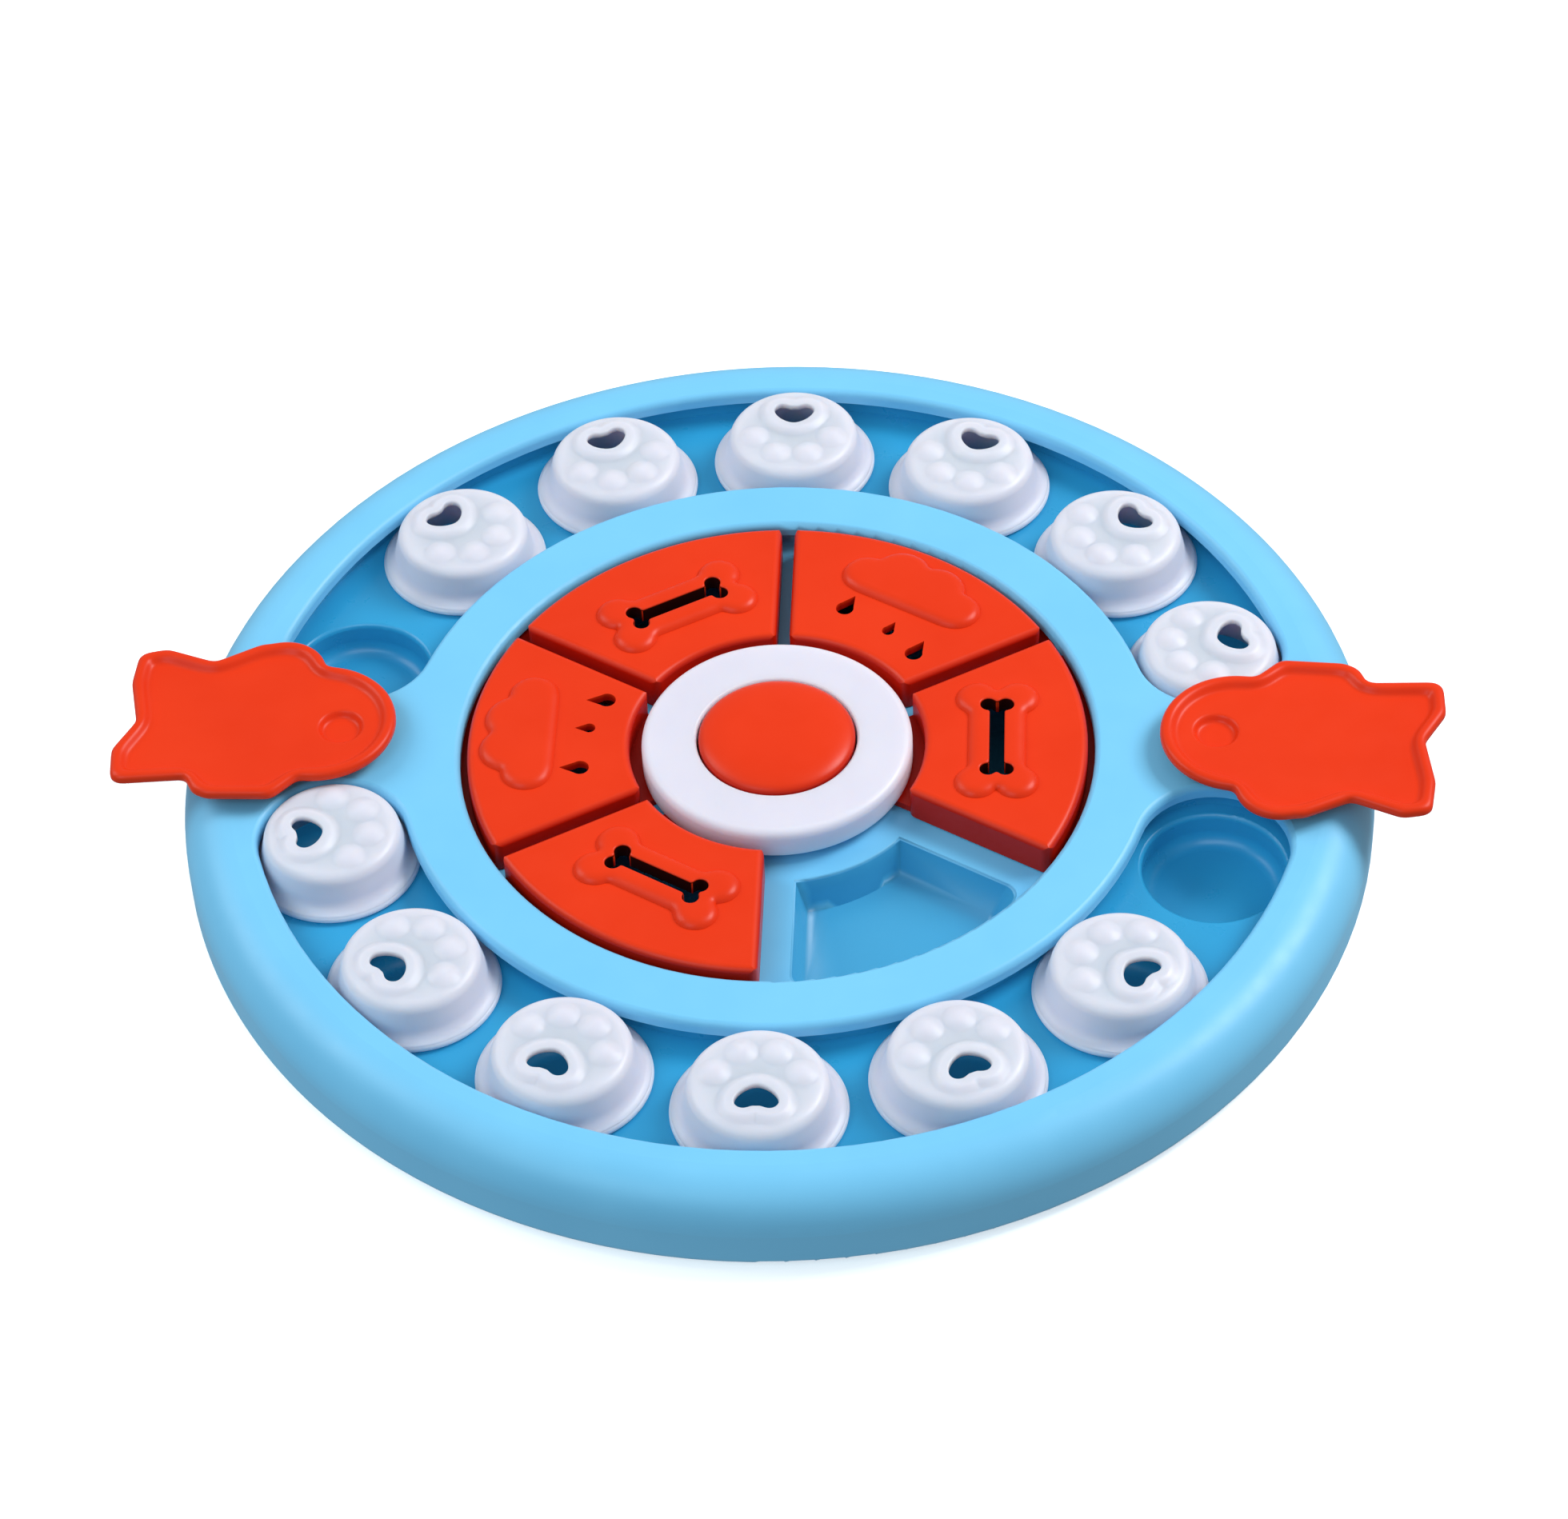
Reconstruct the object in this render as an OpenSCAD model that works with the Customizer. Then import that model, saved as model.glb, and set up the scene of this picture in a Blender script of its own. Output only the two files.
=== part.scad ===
// Cat puzzle feeder: a round tray with two channels of sliding knobs, a wheel of treat slides round a
// squeaking button, and two fish-shaped swing covers. Millimetres, +Z up, table at z = 0,
// tray axis on Z, fish on the X axis.

/* [Tray] */
// Height of the cover's flat top above the table
cover_top = 20; // [19:0.5:24]
// Thickness of the cover's top plate
cover_t = 3.2; // [2.6:0.2:3.6]
// Wall of the skirt round the tray
skirt_t = 2.4; // [2:0.2:3]
// Rounding of the rim's outer shoulder
shoulder_r = 10; // [7:0.5:11]
// Rounding of the skirt's lower edge
hem_r = 2; // [1:0.25:2]
// Rounding of the upper edges of the cover's windows
lip_r = 1.6; // [0.8:0.2:2.4]
// Room between the troughs and the tray's outer face
rim_gap = 10.3; // [10:0.1:20]
// Room between the centre bowl and the troughs
land_gap = 5.15; // [4.5:0.05:10]
// Gap between the treat slides and the round centre window
window_gap = 1.5; // [1:0.1:2]
// Wall of the moulded floors, cups and pockets
mould_t = 1.5; // [1.2:0.1:1.7]
// Running clearance between pieces that slide on each other
run_gap = 0.3; // [0.2:0.05:0.4]

/* [Knob channels] */
// Depth of the channel floor below the cover's top
floor_drop = 8; // [7.5:0.25:8.5]
// Angle from the fish's axis to the end cups
end_angle = 17.1; // [16.8:0.1:18.6]
// Cups in each channel
cup_count = 7; // [7:2:7]
// Ledge left beside a cup in the channel floor
cup_ledge = 0.7; // [0.3:0.1:1.5]
// Rounding of a cup's rim
cup_lip_r = 1.1; // [0.6:0.1:1.2]
// Rounding at the foot of a cup's wall
cup_foot_r = 3; // [1:0.5:4]

/* [Knobs] */
// Diameter of a knob's body where it meets the brim
knob_foot_d = 30; // [29:0.2:32]
// Play of a knob's body in its channel, at each side
knob_play = 0.5; // [0.3:0.05:0.8]
// Reach of a knob's brim under the cover
brim_lap = 2.35; // [2:0.05:2.6]
// Thickness of a knob's brim
brim_t = 1.6; // [1.2:0.1:1.8]
// Taper of a knob's body from its foot to its crown, at each side
knob_taper = 0.7; // [0.4:0.1:1]
// Rounding of a knob's crown
crown_r = 3; // [2:0.2:3.2]
// Height of a knob's flat above the cover's top
knob_rise = 2.5; // [2:0.1:3.2]
// Wall of a knob
knob_wall = 1.8; // [1.4:0.1:2.2]
// Height of the paw relief on a knob
paw_relief = 0.5; // [0.3:0.05:0.6]
// Distance from a knob's middle to its scent hole
scent_offset = 5.2; // [4.4:0.2:5.4]

/* [Treat slides] */
// Depth of a slide from its inner to its outer arc
slide_depth = 34; // [33:0.25:38]
// Gap between neighbouring slides
slide_gap = 2.8; // [2:0.1:4]
// Height of a slide's top above the cover's top
slide_rise = 0.6; // [0.2:0.1:1.4]
// Rounding of a slide's upper edges
slide_edge_r = 1.6; // [0.8:0.2:1.8]
// Wall of a slide
slide_wall = 2; // [1.6:0.1:2.4]
// Height of the raised bone or cloud on a slide
slide_relief = 0.9; // [0.5:0.1:1.2]
// Depth of the ledge that the slides run on, below the cover's top
ledge_drop = 7.3; // [6.8:0.1:7.6]
// Reach of a slide's flange under the cover's ring
slide_flange = 3.3; // [2.6:0.1:3.6]

/* [Hub and button] */
// Diameter of the button
button_d = 32.9; // [31:0.1:36]
// Gap between the button and the hub ring
button_gap = 0.4; // [0.3:0.05:0.6]
// Width of the hub ring's band, from the button to its rim
hub_band = 11.95; // [11:0.05:13]
// Gap between the hub ring and the slides
hub_gap = 2.6; // [2:0.1:3.4]
// Height of the hub ring's top above the cover's top
hub_rise = 1.6; // [1:0.1:2.4]
// Thickness of the hub ring
hub_t = 6.8; // [6.4:0.1:7]
// Height of the button's top above the cover's top
button_rise = 3.6; // [3:0.1:4.5]
// Travel of the button
button_travel = 3; // [2:0.1:3.2]

/* [Fish] */
// Length of a fish from nose to tail
fish_length = 59; // [56:0.5:60]
// Distance of a fish's pivot inside the track
pivot_in = 3.5; // [3:0.25:4]
// Height of a fish's raised border
fish_t = 2.1; // [1.8:0.1:2.6]
// Thickness of a fish's flat floor
fish_floor_t = 0.9; // [0.8:0.1:1.2]
// Width of a fish's raised border
border_w = 3.8; // [3:0.1:4.2]
// Diameter of a fish's eye recess
eye_d = 9.2; // [8.6:0.2:9.8]
// Turn of the right fish from pointing straight out, as it stands in use
right_fish_turn = -4; // [-8:1:0]
// Diameter of a pivot pin
pin_d = 4; // [3.6:0.1:4.4]

/* [Base] */
// Thickness of the bottom plate
plate_t = 1.6; // [1.4:0.1:1.8]
// Height of the plate's underside above the table
foot_h = 1.4; // [1.2:0.1:1.6]
// Diameter of a foot pad
foot_d = 16; // [12:0.5:20]
// Depth of the recess that a foot pad sits in
foot_sink = 0.6; // [0.4:0.1:0.8]
// Foot pads under the plate
foot_count = 4; // [3:1:6]
// Distance of the foot pads from the tray's outer face
foot_inset = 27; // [20:1:34]
// Screws that hold the cover to the plate
cover_screw_count = 6; // [4:1:8]
// Screws that hold the hub ring
hub_screw_count = 3; // [3:1:4]
// Shank diameter of a screw
screw_d = 2.6; // [2.4:0.1:2.8]
// Head diameter of a screw
screw_head_d = 5; // [4.6:0.1:5.2]

/* [Hidden] */
$fn = 96;
small_fn = 40;
cover_blue = [0.55, 0.83, 0.98];
base_blue = [0.36, 0.7, 0.93];
orange = [0.94, 0.26, 0.12];
white = [0.92, 0.91, 0.95];
steel = [0.7, 0.71, 0.73];
rubber = [0.16, 0.17, 0.19];
cut = 1;
seat_gap = 0.2;
stage_fit = 0.05;
lap_angle = 6;

// Heights
plate_top = foot_h + plate_t;
cover_under = cover_top - cover_t;
floor_z = cover_top - floor_drop;
ledge_z = cover_top - ledge_drop;
cup_bottom = plate_top + mould_t;

// Hub and button, from the middle outwards
button_r = button_d / 2;
hub_r = button_r + hub_band;
hub_bottom = cover_top + hub_rise - hub_t;
hub_hole_r = button_r + button_gap;
hub_edge_r = 1.8;
button_flange_r = hub_hole_r + 1.2;
button_flange_t = 1.4;
button_edge_r = 2.4;
button_crown = 1;
button_wall = 2;
button_top = cover_top + button_rise;
well_r = button_flange_r + button_gap;
post_inset = 3.4;
post_r = hub_r - post_inset;
hub_screw_r = (well_r + post_r) / 2;
bulb_r = 11.5;
bulb_wall = 1.2;
bulb_flange_r = 15;
bulb_flange_t = 1.6;
bulb_base = cup_bottom;
bulb_top = button_top - button_wall - button_crown - run_gap;
reed_r = 4;
reed_h = 4;

// Slides, round the hub
place_count = 6;
place_angle = 360 / place_count;
slide_in_r = hub_r + hub_gap;
slide_out_r = slide_in_r + slide_depth;
slide_bottom = ledge_z + run_gap;
slide_top = cover_top + slide_rise;
flange_t = 1.5;
inner_flange_t = hub_bottom - run_gap - slide_bottom;
inner_flange_r = post_r + run_gap + 0.1;
outer_flange_r = slide_out_r + slide_flange;
corner_r = 2;
bone_shift = 2;
bone_r = (slide_in_r + slide_out_r) / 2 - bone_shift;
bone_length = 33;
bone_lobe_r = 4.3;
bone_spread = 4.2;
bone_shank = 11.5;
slot_length = 22.5;
slot_lobe_r = 1.8;
slot_shank = 3.2;
cloud_inset = 18.2;
cloud_base_r = slide_out_r - cloud_inset;
cloud_bar = 8;
cloud_puffs = [[5.1, -12.6, 5], [8.2, -5.4, 6.4], [9, 3.4, 6.2], [5.2, 9.8, 5]];
cloud_drop_spots = [[-6, 8.5, 1.9, 4.4], [-7.2, -3.1, 1.3, 3.1], [-10.4, -11.4, 1.9, 4.4]];
figure_edge_r = 0.8;
slide_kinds = [["bone", 0], ["cloud", 60], ["bone", 120], ["cloud", 180], ["bone", 240]];

// Window over the slides, and the pockets and bowl under them
window_r = slide_out_r + window_gap;
pocket_wall = 2;
pocket_in_r = slide_in_r + pocket_wall;
pocket_out_r = slide_out_r - pocket_wall;
pocket_inset = 5;
pocket_draft = 2.2;
pocket_corner_r = 3.5;
pocket_rim = 0.8;
bowl_in_r = outer_flange_r + run_gap + 0.05;
bowl_r = bowl_in_r + mould_t;

// Channels, round the bowl
channel_w = knob_foot_d + 2 * knob_play;
channel_half = channel_w / 2;
brim_r = channel_half + brim_lap;
trough_half = brim_r + run_gap + 0.05;
trough_outer = trough_half + mould_t;
track_r = bowl_r + land_gap + trough_outer;
run_half_angle = 90 - end_angle;
cup_pitch = 2 * run_half_angle / (cup_count - 1);
cup_r = channel_half - cup_ledge;
knobs_per_channel = cup_count - 1;

// Tray, round the channels
tray_r = track_r + trough_outer + rim_gap;
tray_d = 2 * tray_r;

// Knobs
knob_bottom = floor_z + run_gap;
knob_top = cover_top + knob_rise;
knob_peak = knob_top + paw_relief;
knob_foot_r = knob_foot_d / 2;
knob_crown_r = knob_foot_r - knob_taper;
brim_fillet = brim_r - knob_foot_r - 0.05;
toe_r = 2.4;
toe_spots = [[3.6, 6.8], [-3.6, 6.8], [8.2, 1.8], [-8.2, 1.8]];
heart_lobe_r = 2.1;
heart_lobe_x = 2.3;
heart_lobe_y = -1.2;
heart_side = 60;
heart_notch = 1;
heel_border = 2.2;

// Fish
pivot_r = track_r - pivot_in;
fish_bottom = knob_peak + run_gap;
fish_top = fish_bottom + fish_t;
fish_boss_r = 7;
fish_boss_bottom = cover_top + run_gap;
eye_depth = 1.4;
pin_fit = 0.05;
pin_head_d = 8;
pin_head_t = 2;
pin_skin = 0.7;
fish_round = 2.4;
fish_steps = 4;
border_slope = 1.4;

// Screws and feet
boss_d = 6.4;
boss_r = tray_r - skirt_t - boss_d / 2 - 0.4;
screw_head_t = 1;
cover_screw_len = 9;
hub_screw_head_t = 2;
hub_screw_bite = 4.5;
foot_r = tray_r - foot_inset;

function polar(r, a) = [r * cos(a), r * sin(a)];
function cup_angle(i) = end_angle + i * cup_pitch;

// Places

// Child at each cup of the rear channel
module at_cups() {
    for (i = [0 : cup_count - 1])
        rotate([0, 0, cup_angle(i)]) translate([track_r, 0, 0]) children();
}

// Half turn about the tray's axis, which takes the rear channel to the front one
module to_front() {
    rotate([0, 0, 180]) children();
}

// Ring of equal copies about the tray's axis
module around(n, r, a0 = 0) {
    for (i = [0 : n - 1]) rotate([0, 0, a0 + i * 360 / n]) translate([r, 0, 0]) children();
}

// Section swept along the rear channel, closed by a round end at each end cup. The child is a flat
// section that is alike left and right of the track, with x across the track and y as height. It is
// made as two mirrored halves, so that each half meets its round end and the other half in one plane.
module along_channel() {
    for (side = [0, 1]) mirror([side, 0, 0]) {
        intersection() {
            rotate([0, 0, end_angle])
                rotate_extrude(angle = run_half_angle + lap_angle) translate([track_r, 0]) children();
            translate([0, 0, -tray_r]) cube(2 * tray_r);
        }
        rotate([0, 0, end_angle]) translate([track_r, 0, 0]) rotate([0, 0, 180])
            rotate_extrude(angle = 180)
                intersection() {
                    children();
                    translate([0, -tray_d]) square(2 * tray_d);
                }
    }
}

// Flat wedge of one slide's place, with its sides moved in by a distance
module place_wedge(inset) {
    apex = inset / sin(place_angle / 2);
    far = tray_r / cos(place_angle / 2);
    polygon([[apex, 0], [apex, 0] + polar(far, -place_angle / 2), [apex, 0] + polar(far, place_angle / 2)]);
}

// What is cut off to round a corner at (x, y) that points towards +x and +y
module round_off(x, y, r) {
    difference() {
        translate([x - r, y - r]) square(r + cut);
        translate([x - r, y - r]) circle(r, $fn = small_fn);
    }
}

// What is cut off to round the lip of a hole whose wall is at x and whose top is at y
module lip_off(x, y, r) {
    difference() {
        translate([x - cut / 2, y - r]) square([r + cut / 2, r + cut]);
        translate([x + r, y - r + stage_fit]) circle(r, $fn = small_fn);
    }
}

// Cover

module cover_section() {
    difference() {
        translate([window_r, foot_h]) square([tray_r - window_r, cover_top - foot_h]);
        round_off(tray_r, cover_top, shoulder_r);
        translate([0, 2 * foot_h]) mirror([0, 1]) round_off(tray_r, foot_h, hem_r);
        lip_off(window_r, cover_top, lip_r);
        cover_hollow();
    }
}

// Space below the plate and inside the skirt
module cover_hollow() {
    inner_r = tray_r - skirt_t;
    inner_round = shoulder_r - cover_t;
    difference() {
        translate([0, -cut]) square([inner_r, cover_under + cut]);
        round_off(inner_r, cover_under, inner_round);
    }
}

module channel_window_section() {
    translate([-channel_half, cover_under - cut]) square([channel_w, cover_t + 2 * cut]);
    for (side = [0, 1]) mirror([side, 0]) lip_off(channel_half, cover_top, lip_r);
}

module top_cover() {
    color(cover_blue) difference() {
        union() {
            rotate_extrude() cover_section();
            intersection() {
                around(cover_screw_count, boss_r, 30)
                    translate([0, 0, plate_top])
                        cylinder(d = boss_d, h = cover_under - plate_top + cut, $fn = small_fn);
                rotate_extrude() difference() {
                    square([tray_r - skirt_t / 2, cover_top - cover_t / 2]);
                    round_off(tray_r - skirt_t / 2, cover_top - cover_t / 2, shoulder_r - skirt_t / 2);
                }
            }
        }
        along_channel() channel_window_section();
        to_front() along_channel() channel_window_section();
        around(cover_screw_count, boss_r, 30)
            translate([0, 0, plate_top - cut])
                cylinder(d = screw_d, h = cover_screw_len + cut, $fn = small_fn);
        around(2, pivot_r)
            translate([0, 0, cover_under - cut])
                cylinder(d = pin_d + 2 * pin_fit, h = cover_t + 2 * cut, $fn = small_fn);
    }
}

// Troughs

module trough_section() {
    translate([-trough_outer, floor_z - mould_t]) square([2 * trough_outer, mould_t]);
    for (side = [0, 1])
        mirror([side, 0])
            translate([trough_half, floor_z - mould_t])
                square([mould_t, cover_under - seat_gap - floor_z + mould_t]);
}

module cup_hollow() {
    rotate_extrude() {
        difference() {
            translate([0, cup_bottom]) square([cup_r, floor_z - cup_bottom + cut]);
            translate([0, 2 * cup_bottom]) mirror([0, 1]) round_off(cup_r, cup_bottom, cup_foot_r);
        }
        lip_off(cup_r, floor_z, cup_lip_r);
    }
}

module rear_trough() {
    color(base_blue) difference() {
        union() {
            along_channel() trough_section();
            at_cups() translate([0, 0, plate_top])
                cylinder(r = cup_r + mould_t, h = floor_z - mould_t / 2 - plate_top);
        }
        at_cups() cup_hollow();
    }
}

module front_trough() {
    to_front() rear_trough();
}

// Centre bowl

// Plan of a pocket without its inner wall: an outer arc and two straight sides, with round corners
module pocket_plan(grow) {
    offset(r = pocket_corner_r, $fn = 24) offset(delta = grow - pocket_corner_r)
        intersection() {
            circle(pocket_out_r);
            place_wedge(pocket_inset);
            translate([pocket_in_r * cos(place_angle / 2), -tray_r]) square(2 * tray_r);
        }
}

// Drafted pocket with an eased rim, and an inner wall that runs round the hub
module pocket_hollow() {
    difference() {
        hull() {
            translate([0, 0, ledge_z - pocket_rim]) linear_extrude(pocket_rim + cut) pocket_plan(0);
            translate([0, 0, cup_bottom]) linear_extrude(pocket_rim / 2) pocket_plan(-pocket_draft);
        }
        translate([0, 0, cup_bottom - cut / 2])
            cylinder(r1 = pocket_in_r + pocket_draft, r2 = pocket_in_r, h = ledge_z - cup_bottom + 2 * cut);
    }
    translate([0, 0, ledge_z - pocket_rim / 2]) linear_extrude(pocket_rim) difference() {
        pocket_plan(pocket_rim / 2);
        circle(pocket_in_r);
    }
}

module at_places() {
    for (i = [0 : place_count - 1]) rotate([0, 0, i * place_angle]) children();
}

module pocket_bowl() {
    color(base_blue) difference() {
        union() {
            translate([0, 0, ledge_z - mould_t]) cylinder(r = bowl_r, h = mould_t);
            translate([0, 0, ledge_z - mould_t]) difference() {
                cylinder(r = bowl_r, h = cover_under - seat_gap - ledge_z + mould_t);
                translate([0, 0, -cut]) cylinder(r = bowl_in_r, h = cover_top);
            }
            translate([0, 0, plate_top]) cylinder(r = post_r, h = hub_bottom - plate_top);
            at_places() translate([0, 0, plate_top])
                linear_extrude(ledge_z - mould_t / 2 - plate_top) pocket_plan(mould_t);
        }
        at_places() pocket_hollow();
        translate([0, 0, cup_bottom]) cylinder(r = well_r, h = cover_top);
        around(hub_screw_count, hub_screw_r) {
            cylinder(d = screw_d + 2 * seat_gap, h = cover_top, $fn = small_fn);
            cylinder(d = screw_head_d + 2 * seat_gap, h = plate_top + hub_screw_head_t, $fn = small_fn);
        }
    }
}

// Base

module bottom_plate() {
    color(base_blue) difference() {
        translate([0, 0, foot_h]) cylinder(r = tray_r - skirt_t - run_gap, h = plate_t);
        around(cover_screw_count, boss_r, 30) {
            cylinder(d = screw_d + 2 * seat_gap, h = cover_top, $fn = small_fn);
            cylinder(d = screw_head_d + 2 * seat_gap, h = foot_h + screw_head_t, $fn = small_fn);
        }
        around(foot_count, foot_r, 180 / foot_count)
            cylinder(d = foot_d + 2 * stage_fit, h = foot_h + foot_sink);
    }
}

module foot_pads() {
    edge = 0.5;
    color(rubber) around(foot_count, foot_r, 180 / foot_count)
        rotate_extrude()
            difference() {
                square([foot_d / 2, foot_h + foot_sink]);
                translate([0, 0]) mirror([0, 1]) round_off(foot_d / 2, 0, edge);
            }
}

module cover_screws() {
    head_bottom = foot_h;
    color(steel) around(cover_screw_count, boss_r, 30)
        translate([0, 0, head_bottom]) {
            cylinder(d = screw_head_d, h = screw_head_t, $fn = small_fn);
            cylinder(d = screw_d, h = plate_t + cover_screw_len - cut, $fn = small_fn);
        }
}

// Hub, button and squeaker

module hub_ring() {
    hub_top = cover_top + hub_rise;
    color(white) difference() {
        rotate_extrude() difference() {
            translate([hub_hole_r, hub_bottom]) square([hub_r - hub_hole_r, hub_t]);
            round_off(hub_r, hub_top, hub_edge_r);
            translate([0, 2 * hub_bottom]) mirror([0, 1]) round_off(hub_r, hub_bottom, hub_edge_r / 2);
            lip_off(hub_hole_r, hub_top, hub_edge_r / 2);
        }
        around(hub_screw_count, hub_screw_r)
            translate([0, 0, hub_bottom - cut])
                cylinder(d = screw_d, h = hub_screw_bite + cut, $fn = small_fn);
    }
}

module hub_screws() {
    color(steel) around(hub_screw_count, hub_screw_r)
        translate([0, 0, plate_top]) {
            cylinder(d = screw_head_d, h = hub_screw_head_t, $fn = small_fn);
            cylinder(d = screw_d, h = hub_bottom - plate_top + hub_screw_bite - cut, $fn = small_fn);
        }
}

module center_button() {
    shoulder = button_top - button_crown;
    flange_top = hub_bottom - run_gap;
    crown_half = button_r - button_edge_r;
    crown_ball_r = (crown_half * crown_half + button_crown * button_crown) / (2 * button_crown);
    color(orange) rotate_extrude() difference() {
        union() {
            difference() {
                translate([0, flange_top - button_flange_t])
                    square([button_r, shoulder - flange_top + button_flange_t]);
                round_off(button_r, shoulder, button_edge_r);
            }
            intersection() {
                translate([0, button_top - crown_ball_r]) circle(crown_ball_r, $fn = 720);
                translate([0, shoulder - cut]) square([crown_half, button_crown + 2 * cut]);
            }
            translate([0, flange_top - button_flange_t]) square([button_flange_r, button_flange_t]);
        }
        translate([-cut, 0]) square([button_r - button_wall + cut, shoulder - button_wall]);
    }
}

module squeaker_bulb() {
    neck = bulb_top - bulb_r;
    color(rubber) rotate_extrude() difference() {
        union() {
            intersection() {
                translate([0, neck]) circle(bulb_r);
                translate([0, neck]) square(bulb_r);
            }
            translate([0, bulb_base]) square([bulb_r, neck - bulb_base]);
            translate([0, bulb_base]) square([bulb_flange_r, bulb_flange_t]);
        }
        intersection() {
            translate([0, neck]) circle(bulb_r - bulb_wall);
            translate([0, neck]) square(bulb_r);
        }
        translate([0, bulb_base + bulb_wall])
            square([bulb_r - bulb_wall, neck - bulb_base - bulb_wall + stage_fit]);
        translate([0, bulb_base - cut]) square([reed_r, 2 * cut + bulb_wall]);
    }
}

module squeaker_reed() {
    bore_r = 1.2;
    color(white) translate([0, 0, bulb_base]) difference() {
        union() {
            cylinder(r = reed_r - stage_fit, h = reed_h, $fn = small_fn);
            translate([0, 0, bulb_wall + stage_fit])
                cylinder(r = reed_r + bulb_wall, h = bulb_wall, $fn = small_fn);
        }
        translate([0, 0, -cut]) cylinder(r = bore_r, h = reed_h + 2 * cut, $fn = small_fn);
    }
}

// Fish

// Plan of a fish with its pivot at the origin and its tail towards +X
module fish_plan() {
    u = fish_length / 59;
    offset(r = -fish_round / 2, $fn = 24) offset(delta = fish_round / 2)
        offset(r = fish_round, $fn = 24) offset(delta = -fish_round) {
            translate([4.7 * u, -0.6 * u]) circle(16.3 * u, $fn = 64);
            translate([13.6 * u, -15.3 * u]) circle(9.1 * u, $fn = 48);
            polygon(u * [[4, -15], [13, -24], [19, -23.6], [28.5, -18.2], [39, -22], [45, -20.5],
                         [45.6, -12], [43.2, -0.4], [47.4, 8], [46.6, 17], [31, 15.6], [29, 19.6],
                         [26, 21], [12.4, 21], [7, 15]]);
        }
}

// Quarter-round easing of a fish's edges, as a share of its depth at each of a few steps
function ease(step) = 1 - sqrt(1 - pow(step / fish_steps, 2));

// Border with a rounded outer edge and a slope down to the floor, over a short boss round the pin
module fish_at_pivot() {
    rise = fish_t - fish_floor_t;
    layer = rise / fish_steps;
    floor_top = fish_bottom + fish_floor_t;
    difference() {
        union() {
            translate([0, 0, fish_bottom]) linear_extrude(fish_floor_t + layer / 2) fish_plan();
            for (step = [1 : fish_steps])
                translate([0, 0, fish_bottom + layer / 2])
                    linear_extrude(fish_floor_t + layer * (step - 0.5))
                    offset(delta = -rise * ease(step - 0.5) - 0.05) fish_plan();
            translate([0, 0, fish_boss_bottom])
                cylinder(r = fish_boss_r, h = floor_top - fish_boss_bottom - layer);
        }
        for (step = [1 : fish_steps])
            translate([0, 0, floor_top + layer * (step - 1)]) linear_extrude(fish_t)
                offset(delta = -border_w + border_slope * (step - 1) / fish_steps) fish_plan();
        translate([0, 0, eye_bottom()]) cylinder(d = eye_d, h = fish_t + eye_depth);
        translate([0, 0, fish_boss_bottom - cut])
            cylinder(d = pin_d + stage_fit, h = eye_bottom() - pin_skin - fish_boss_bottom + cut,
                     $fn = small_fn);
    }
}

function eye_bottom() = fish_bottom + fish_floor_t - eye_depth;

module fish_pin_at_pivot() {
    head_top = cover_under - seat_gap;
    color(steel) {
        translate([0, 0, head_top - pin_head_t]) cylinder(d = pin_head_d, h = pin_head_t, $fn = small_fn);
        translate([0, 0, head_top - pin_head_t])
            cylinder(d = pin_d, h = eye_bottom() - pin_skin - seat_gap - head_top + pin_head_t,
                     $fn = small_fn);
    }
}

module at_right_pivot() {
    translate([pivot_r, 0, 0]) rotate([0, 0, right_fish_turn]) children();
}

module at_left_pivot() {
    translate([-pivot_r, 0, 0]) rotate([0, 0, 180]) children();
}

// Treat slides

// A bone along Y, as four lobes and a shank
module bone_plan(length, lobe_r, spread, shank) {
    for (end = [-1, 1], side = [-1, 1])
        translate([side * spread, end * (length / 2 - lobe_r)]) circle(lobe_r, $fn = small_fn);
    square([shank, length - 2 * lobe_r], center = true);
    for (end = [-1, 1])
        translate([-spread, end * (length / 2 - lobe_r) - lobe_r / 2]) square([2 * spread, lobe_r]);
}

// Round button of a raised figure, sunk into the slide's top and eased at its upper edge
module figure_puck(r) {
    translate([0, 0, slide_top - slide_relief]) rotate_extrude() difference() {
        square([r, 2 * slide_relief]);
        round_off(r, 2 * slide_relief, figure_edge_r);
    }
}

// Bar of a raised figure, along Y and eased at its upper edges
module figure_bar(width, length) {
    translate([0, 0, slide_top - slide_relief]) rotate([90, 0, 0])
        linear_extrude(length, center = true) difference() {
            translate([-width / 2, 0]) square([width, 2 * slide_relief]);
            for (side = [0, 1]) mirror([side, 0]) round_off(width / 2, 2 * slide_relief, figure_edge_r);
        }
}

module bone_figure() {
    lobe_end = bone_length / 2 - bone_lobe_r;
    for (end = [-1, 1], side = [-1, 1])
        translate([side * bone_spread, end * lobe_end, 0]) figure_puck(bone_lobe_r);
    figure_bar(bone_shank, 2 * lobe_end);
}

// A cloud with its flat base towards the hub
module cloud_figure() {
    for (p = cloud_puffs) translate([cloud_base_r + p[0], p[1], 0]) figure_puck(p[2]);
    translate([cloud_base_r + cloud_bar / 2, (cloud_puffs[0][1] + cloud_puffs[3][1]) / 2, 0])
        figure_bar(cloud_bar, cloud_puffs[3][1] - cloud_puffs[0][1]);
}

// A raindrop with its tip towards +X
module drop_plan(r, tip) {
    a = acos(r / tip);
    inside = 0.97 * r;
    circle(r, $fn = small_fn);
    polygon([polar(inside, a), [tip, 0], polar(inside, -a)]);
}

module cloud_drops() {
    for (d = cloud_drop_spots) translate([cloud_base_r + d[0], d[1]]) drop_plan(d[2], d[3]);
}

// Angle from a slide's middle to the centre of a corner rounding that lies at a radius
function corner_angle(r, inset) = place_angle / 2 - asin((slide_gap / 2 + inset + corner_r) / r);

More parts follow.
